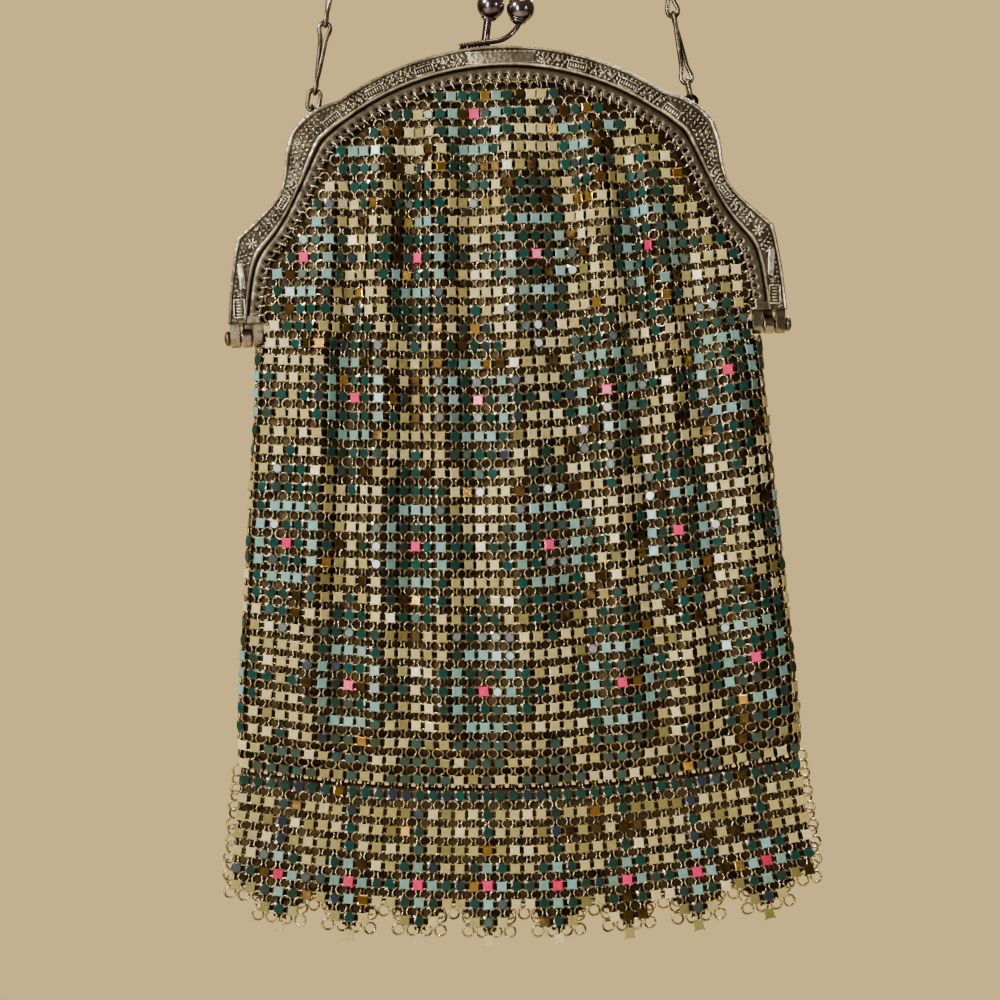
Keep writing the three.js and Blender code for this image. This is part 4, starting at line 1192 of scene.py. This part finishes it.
def knuckles(bm, facing, spots):
    length = (BARREL_LENGTH - 0.6) / 3
    end = FRAME_HALF_WIDTH - 0.1
    foot = FRAME_SIDE[0]["outer"][1] * FRAME_HEIGHT
    for sign in (-1, 1):
        for number in spots:
            start = end - BARREL_LENGTH + number * (length + 0.3)
            centre = sign * (start + length / 2)
            turn = Matrix.Rotation(math.radians(90), 4, "Y")
            made = bmesh.ops.create_cone(
                bm, cap_ends=True, segments=28, radius1=BARREL_RADIUS, radius2=BARREL_RADIUS, depth=length,
                matrix=Matrix.Translation((centre, 0, 0)) @ turn,
            )
            rims = [
                edge for vertex in made["verts"] for edge in vertex.link_edges
                if abs(edge.verts[0].co.x - edge.verts[1].co.x) < 0.01
            ]
            bmesh.ops.bevel(
                bm,
                geom=list(set(rims)),
                offset=0.18,
                segments=2,
                affect="EDGES",
                profile=0.5,
                material=-1,
            )
            web = Matrix.Translation((centre, -facing * 0.98, foot / 2 + 0.2))
            bar(bm, web, length, 1.6, foot + 0.3, 0.1)
        inner = FRAME_SIDE[0]["inner"][0] * FRAME_HALF_WIDTH
        block = Matrix.Translation((sign * (end + inner) / 2, -facing * 2.0, foot + 0.75))
        bar(bm, block, end - inner - 0.1, 3.7, 1.5, 0.2)


def make_frames():
    for facing, side, spots in ((1, "front", (0, 2)), (-1, "back", (1,))):
        bm = bmesh.new()
        channel(bm, facing)
        raise_to_hinge(bm)
        finish_piece(bm, f"frame_channel_{side}", [SILVER], False, (f"frame_{side}",))
        bm = bmesh.new()
        knuckles(bm, facing, spots)
        raise_to_hinge(bm)
        finish_piece(bm, f"hinge_knuckles_{side}", [HINGE_METAL], False)
        bm = bmesh.new()
        flange(bm, facing)
        raise_to_hinge(bm)
        sheet = finish_piece(bm, f"frame_flange_{side}", [FLANGE_METAL], True)
        subdivide = sheet.modifiers.new("round_holes", "SUBSURF")
        subdivide.levels = 1
        subdivide.render_levels = 1
        bm = bmesh.new()
        taken = frame_ornament(bm, facing)
        raise_to_hinge(bm)
        finish_piece(bm, f"frame_ornament_{side}", [SILVER], True)
        leaf_ground(facing, side, taken)
        make_stitching(facing, side)


def make_stitching(facing, side):
    """The coil of wire through every flange hole and the mesh's top rings: a steep stroke in front of the
    flange's edge, and the step to the next hole behind it."""
    holes, ways = even_points(across(2.0), STITCH_HOLES * STITCH_STEPS + 1)
    pitch = np.linalg.norm(np.diff(holes, axis=0), axis=1).sum() / STITCH_HOLES
    inward = np.stack([ways[:, 1], -ways[:, 0]], axis=1)
    inward *= np.sign(np.sum(inward * (np.array([0, ARCH_CENTRE]) - holes), axis=1))[:, None]
    points, centres = [], []
    for i, ((x, z), (in_x, in_z), (way_x, way_z)) in enumerate(zip(holes, inward, ways)):
        angle = 2 * math.pi * i / STITCH_STEPS
        out = STITCH_SHIFT + STITCH_REACH * math.cos(angle)
        lift = STITCH_LIFT * math.sin(angle)
        slide = pitch * 0.06 * math.sin(angle - 0.4)
        seat = Vector((x, -facing * (FLANGE_FRONT + FLANGE_BACK) / 2, z))
        middle = seat + Vector((in_x * STITCH_SHIFT, 0, in_z * STITCH_SHIFT))
        points.append(seat + Vector((in_x * out - way_x * slide, -facing * lift, in_z * out - way_z * slide)))
        centres.append(middle)
    bm = bmesh.new()
    wire(bm, points, STITCH_WIRE, 5, centres=centres)
    raise_to_hinge(bm)
    finish_piece(bm, f"stitch_coil_{side}", [STITCH_METAL], True)


def make_pins():
    end = FRAME_HALF_WIDTH - 0.1
    for sign, side in ((1, "right"), (-1, "left")):
        bm = bmesh.new()
        turn = Matrix.Rotation(math.radians(90), 4, "Y")
        bmesh.ops.create_cone(
            bm, cap_ends=True, segments=20, radius1=0.8, radius2=0.8, depth=BARREL_LENGTH + 1,
            matrix=Matrix.Translation((sign * (end - BARREL_LENGTH / 2), 0, 0)) @ turn,
        )
        dome = Matrix.Translation((sign * (end + 0.55), 0, 0)) @ Matrix.Diagonal((0.52, 1, 1, 1))
        bmesh.ops.create_uvsphere(bm, u_segments=20, v_segments=12, radius=PIN_HEAD_RADIUS, matrix=dome)
        inner = Matrix.Translation((sign * (end - BARREL_LENGTH - 0.5), 0, 0))
        inner = inner @ Matrix.Diagonal((0.25, 1, 1, 1))
        bmesh.ops.create_uvsphere(bm, u_segments=16, v_segments=8, radius=1.15, matrix=inner)
        raise_to_hinge(bm)
        finish_piece(bm, f"hinge_rivet_{side}", [PIN_METAL], True, (f"hinge_pin_{side}",))


# The clasp

BALL_SIDE = BALL_RADIUS + 0.15
CLASP_MIDDLE_X = 1.25
CLASP_DEPTH = FRAME_DEPTH / 2


def rim_height(x):
    return ARCH_CENTRE + math.sqrt(ARCH_RADIUS ** 2 - x ** 2)


def ball_with_collar(bm, centre, down):
    turn = Vector((0, 0, -1)).rotation_difference(Vector(down)).to_matrix().to_4x4()
    place = Matrix.Translation(centre) @ turn
    bmesh.ops.create_uvsphere(bm, u_segments=40, v_segments=24, radius=BALL_RADIUS, matrix=place)
    for depth, radius, tube in ((0.9, 0.52, 0.2), (1.02, 0.38, 0.17)):
        ring = [
            place @ (BALL_RADIUS * Vector((radius * math.cos(a), radius * math.sin(a), -depth)))
            for a in (2 * math.pi * k / 28 for k in range(28))
        ]
        middle = place @ Vector((0, 0, -BALL_RADIUS * depth))
        wire(bm, ring, tube, 8, closed=True, centres=[middle] * len(ring))


def make_clasp():
    bm = bmesh.new()
    x, y, z = CLASP_MIDDLE_X + BALL_SIDE, -BALL_RADIUS * 0.1, FRAME_HEIGHT + BALL_RISE - BALL_RADIUS * 0.25
    lie = 0.85
    route = spline([
        (-7.9, -CLASP_DEPTH, rim_height(-7.9) + lie),
        (-3.5, -CLASP_DEPTH, rim_height(-3.5) + lie + 0.15),
        (0.6, -CLASP_DEPTH * 0.85, rim_height(0.6) + lie + 0.75),
        (x - 0.9, -CLASP_DEPTH * 0.5, z - BALL_RADIUS - 1.1),
        (x, y, z - BALL_RADIUS * 0.6),
    ], 14)
    # The tail is rolled into a row of beads, the rest of the wire is plain.
    tail = 16
    sizes = [
        CLASP_WIRE_RADIUS * (1.1 + 0.3 * math.cos(i * math.pi) if i < tail else 1.0)
        for i in range(len(route))
    ]
    wire(bm, route, sizes, 12)
    ball_with_collar(bm, (x, y, z), (-0.25, -0.2, -1))
    peg = Matrix.Translation((-6.3, -CLASP_DEPTH, rim_height(-6.3) - 0.2))
    bmesh.ops.create_cone(bm, cap_ends=True, segments=12, radius1=0.45, radius2=0.45, depth=2.2, matrix=peg)
    raise_to_hinge(bm)
    finish_piece(bm, "clasp_ball_front", [CLASP_METAL], True, ("clasp_front",))

    bm = bmesh.new()
    x, y, z = CLASP_MIDDLE_X - BALL_SIDE, BALL_RADIUS * 0.1, FRAME_HEIGHT + BALL_RISE + BALL_RADIUS * 0.08
    seat = Vector((-3.1, CLASP_DEPTH, rim_height(-3.1) + 0.3))
    top = Vector((x - 0.5, y, z - BALL_RADIUS * 0.6))
    stalk = [seat.lerp(top, i / 8) for i in range(9)]
    wire(bm, stalk, [1.35, 1.1, 0.85, 0.8, 0.8, 0.8, 0.8, 0.8, 0.8], 16)
    ball_with_collar(bm, (x, y, z), seat - Vector((x, y, z)))
    peg = Matrix.Translation((-3.1, CLASP_DEPTH, rim_height(-3.1) - 0.4))
    bmesh.ops.create_cone(bm, cap_ends=True, segments=12, radius1=0.45, radius2=0.45, depth=2.0, matrix=peg)
    raise_to_hinge(bm)
    finish_piece(bm, "clasp_ball_back", [CLASP_METAL], True, ("clasp_back",))


# The chain

LINK_PITCH = LINK_LENGTH - 2 * CHAIN_WIRE + FUSE
RING_PITCH = RING_LENGTH - 2 * CHAIN_WIRE + FUSE
CHAIN_LEVELS = [
    dict(at=0.0, half=0.0, turn=0.0),
    dict(at=0.12, half=0.42, turn=0.0),
    dict(at=0.45, half=0.77, turn=0.0),
    dict(at=0.9, half=0.95, turn=0.0),
    dict(at=1.4, half=1.0, turn=0.0),
    dict(at=2.0, half=0.88, turn=0.02),
    dict(at=2.7, half=0.66, turn=0.08),
    dict(at=3.5, half=0.52, turn=0.17),
    dict(at=4.6, half=0.5, turn=0.28),
    dict(at=5.8, half=0.5, turn=0.39),
]


def chain_route():
    bend = math.radians(BEND_DEGREES)
    top = Vector((LINK_PITCH / 2, 0, 0))
    shoulder = Vector((top.x + LINK_PITCH * math.cos(bend), 0, -LINK_PITCH * math.sin(bend)))
    run = STRAIGHT_LINKS * LINK_PITCH + RING_PITCH
    spread = EYE_X - shoulder.x
    fall = math.sqrt(run ** 2 - spread ** 2 - CHAIN_DEPTH ** 2)
    eye = Vector((EYE_X, 0, shoulder.z - fall))
    side = [top, shoulder]
    side += [shoulder.lerp(eye, i * LINK_PITCH / run) for i in range(1, STRAIGHT_LINKS + 1)]
    side.append(eye)
    for place in side:
        place.y = CHAIN_DEPTH * min(place.z / eye.z, 1)
    return side


def chain_link(bm, start, finish, start_side):
    along = (finish - start).normalized()
    middle = (start + finish) / 2
    first = (start_side - along * start_side.dot(along)).normalized()
    second = along.cross(first)
    reach = (LINK_LENGTH - CHAIN_WIRE) / 2
    eye_half = (LINK_EYE_WIDTH - CHAIN_WIRE) / 2
    rows = [(row["at"] - reach, row["half"], row["turn"]) for row in CHAIN_LEVELS[1:]]
    rows.append((0.0, CHAIN_LEVELS[-1]["half"], 0.5))
    rows += [(reach - row["at"], row["half"], 1 - row["turn"]) for row in reversed(CHAIN_LEVELS[1:])]

    def strand(sign):
        out = []
        for at, half, turn in rows:
            angle = turn * math.pi / 2
            way = first * math.cos(angle) + second * math.sin(angle)
            out.append(middle + along * at + way * (sign * half * eye_half))
        return out

    points = [middle - along * reach, *strand(1), middle + along * reach, *reversed(strand(-1))]
    limit = reach - eye_half
    centres = [middle + along * max(-limit, min(limit, (place - middle).dot(along))) for place in points]
    wire(bm, points, CHAIN_WIRE / 2, 8, closed=True, centres=centres)


def oval_ring(bm, centre, lengthways, widthways, length, width, radius, steps=24, sides=8):
    points, centres = [], []
    for i in range(steps):
        angle = 2 * math.pi * (i + 0.5) / steps
        stretch = math.copysign((length - width) / 2, math.cos(angle))
        middle = centre + lengthways * stretch
        half = width / 2
        points.append(
            middle + lengthways * (half * math.cos(angle)) + widthways * (half * math.sin(angle))
        )
        centres.append(middle)
    wire(bm, points, radius, sides, closed=True, centres=centres)


def shoulder_height():
    line = OUTER[:SIDE_POINTS]
    return float(np.interp(-EYE_X, -line[:, 0], line[:, 1]))


EYE_Z = shoulder_height() + EYE_RADIUS - EYE_SINK


def make_chain():
    side = chain_route()
    joints = [*[Vector((-place.x, place.y, place.z)) for place in reversed(side)], *side]
    bm = bmesh.new()
    last = len(joints) - 1
    for i in range(1, last + 1):
        start, finish = joints[i - 1], joints[i]
        if i in (1, last):
            along = (finish - start).normalized()
            flat = Vector((-1, 0, 0)) if i == 1 else Vector((0, 1, 0))
            widthways = (flat - along * flat.dot(along)).normalized()
            oval_ring(
                bm, (start + finish) / 2, along, widthways, RING_LENGTH - CHAIN_WIRE, RING_WIDTH - CHAIN_WIRE,
                CHAIN_WIRE / 2,
            )
        else:
            chain_link(bm, start, finish, Vector((0, 1, 0)))
    finish_piece(bm, "chain_links", [CHAIN_METAL], True, ("chain",))

    bm = bmesh.new()
    width = 2 * EYE_RADIUS - EYE_WIRE
    for sign, widthways in ((-1, Vector((0, 1, 0))), (1, Vector((1, 0, 0)))):
        centre = Vector((sign * EYE_X, CHAIN_DEPTH, EYE_Z))
        oval_ring(bm, centre, Vector((0, 0, 1)), widthways, width, width, EYE_WIRE / 2)
        base = Matrix.Translation((sign * EYE_X, CHAIN_DEPTH, EYE_Z - EYE_RADIUS + EYE_SINK / 2))
        bmesh.ops.create_cone(
            bm,
            cap_ends=True,
            segments=20,
            radius1=EYE_WIRE * 1.7,
            radius2=EYE_WIRE * 0.8,
            depth=EYE_RADIUS,
            matrix=base,
        )
    raise_to_hinge(bm)
    finish_piece(bm, "chain_eyes", [SILVER], True)


make_bag()
make_fringe()
make_frames()
make_pins()
make_clasp()
make_chain()


# Stage and lights

def make_stage():
    mesh = bpy.data.meshes.new("floor")
    bm = bmesh.new()
    bmesh.ops.create_grid(bm, x_segments=1, y_segments=1, size=0.7, matrix=Matrix.Translation((0, 0, -0.5)))
    bm.to_mesh(mesh)
    bm.free()
    material, _, shader = new_material("pale_floor")
    shader.inputs["Base Color"].default_value = linear("#D8CDB8")
    shader.inputs["Roughness"].default_value = 0.8
    mesh.materials.append(material)
    floor = bpy.data.objects.new("floor", mesh)
    bpy.context.collection.objects.link(floor)


def add_light(name, place, target, size, power, colour):
    data = bpy.data.lights.new(name, "AREA")
    data.shape = "RECTANGLE"
    data.size, data.size_y = size
    data.energy = power
    data.color = linear(colour)[:3]
    light = bpy.data.objects.new(name, data)
    light.location = place
    way = Vector(target) - Vector(place)
    light.rotation_euler = way.to_track_quat("-Z", "Y").to_euler()
    bpy.context.collection.objects.link(light)


# The room's light by direction: the ceiling's glow, the dim ground, and the beige wall behind the purse.
CEILING = tuple(channel * 0.26 for channel in linear("#E2CDA4"))
GROUND_LIGHT = tuple(channel * 0.05 for channel in linear("#C9B48F"))
WALL = linear("#F1CF89")


def make_world():
    world = bpy.data.worlds.new("studio")
    bpy.context.scene.world = world
    world.use_nodes = True
    tree = world.node_tree
    background = tree.nodes["Background"]
    source = add_node(tree, "ShaderNodeTexCoord")
    split = add_node(tree, "ShaderNodeSeparateXYZ", links={"Vector": source.outputs["Generated"]})
    above = add_node(
        tree,
        "ShaderNodeMapRange",
        values={"From Min": -0.5, "From Max": 0.8},
        links={"Value": split.outputs["Z"]},
    )
    behind = add_node(
        tree,
        "ShaderNodeMapRange",
        values={"From Min": 0.6, "From Max": 0.85},
        links={"Value": split.outputs["Y"]},
    )
    room = mixed(tree, above.outputs["Result"], GROUND_LIGHT, CEILING)
    colour = mixed(tree, behind.outputs["Result"], room, WALL)
    tree.links.new(colour, background.inputs["Color"])
    background.inputs["Strength"].default_value = 1.0


def make_lights():
    middle = (0, 0, -0.2)
    add_light("key", (-0.5, -0.36, 0.2), middle, (0.12, 0.12), 7.0, "#FFF5E4")
    add_light("strip", (-0.3, -0.6, -0.15), middle, (0.04, 0.35), 3.0, "#FFFAF0")
    add_light("top", (0.1, -0.2, 0.45), middle, (0.3, 0.1), 1.3, "#FFF0DA")
    add_light("side", (0.5, -0.5, -0.1), middle, (0.05, 0.1), 0.7, "#FFFAF2")
    add_light("back", (0.25, 0.6, 0.3), middle, (0.2, 0.2), 9.0, "#FFF5E4")


make_world()
make_stage()
make_lights()
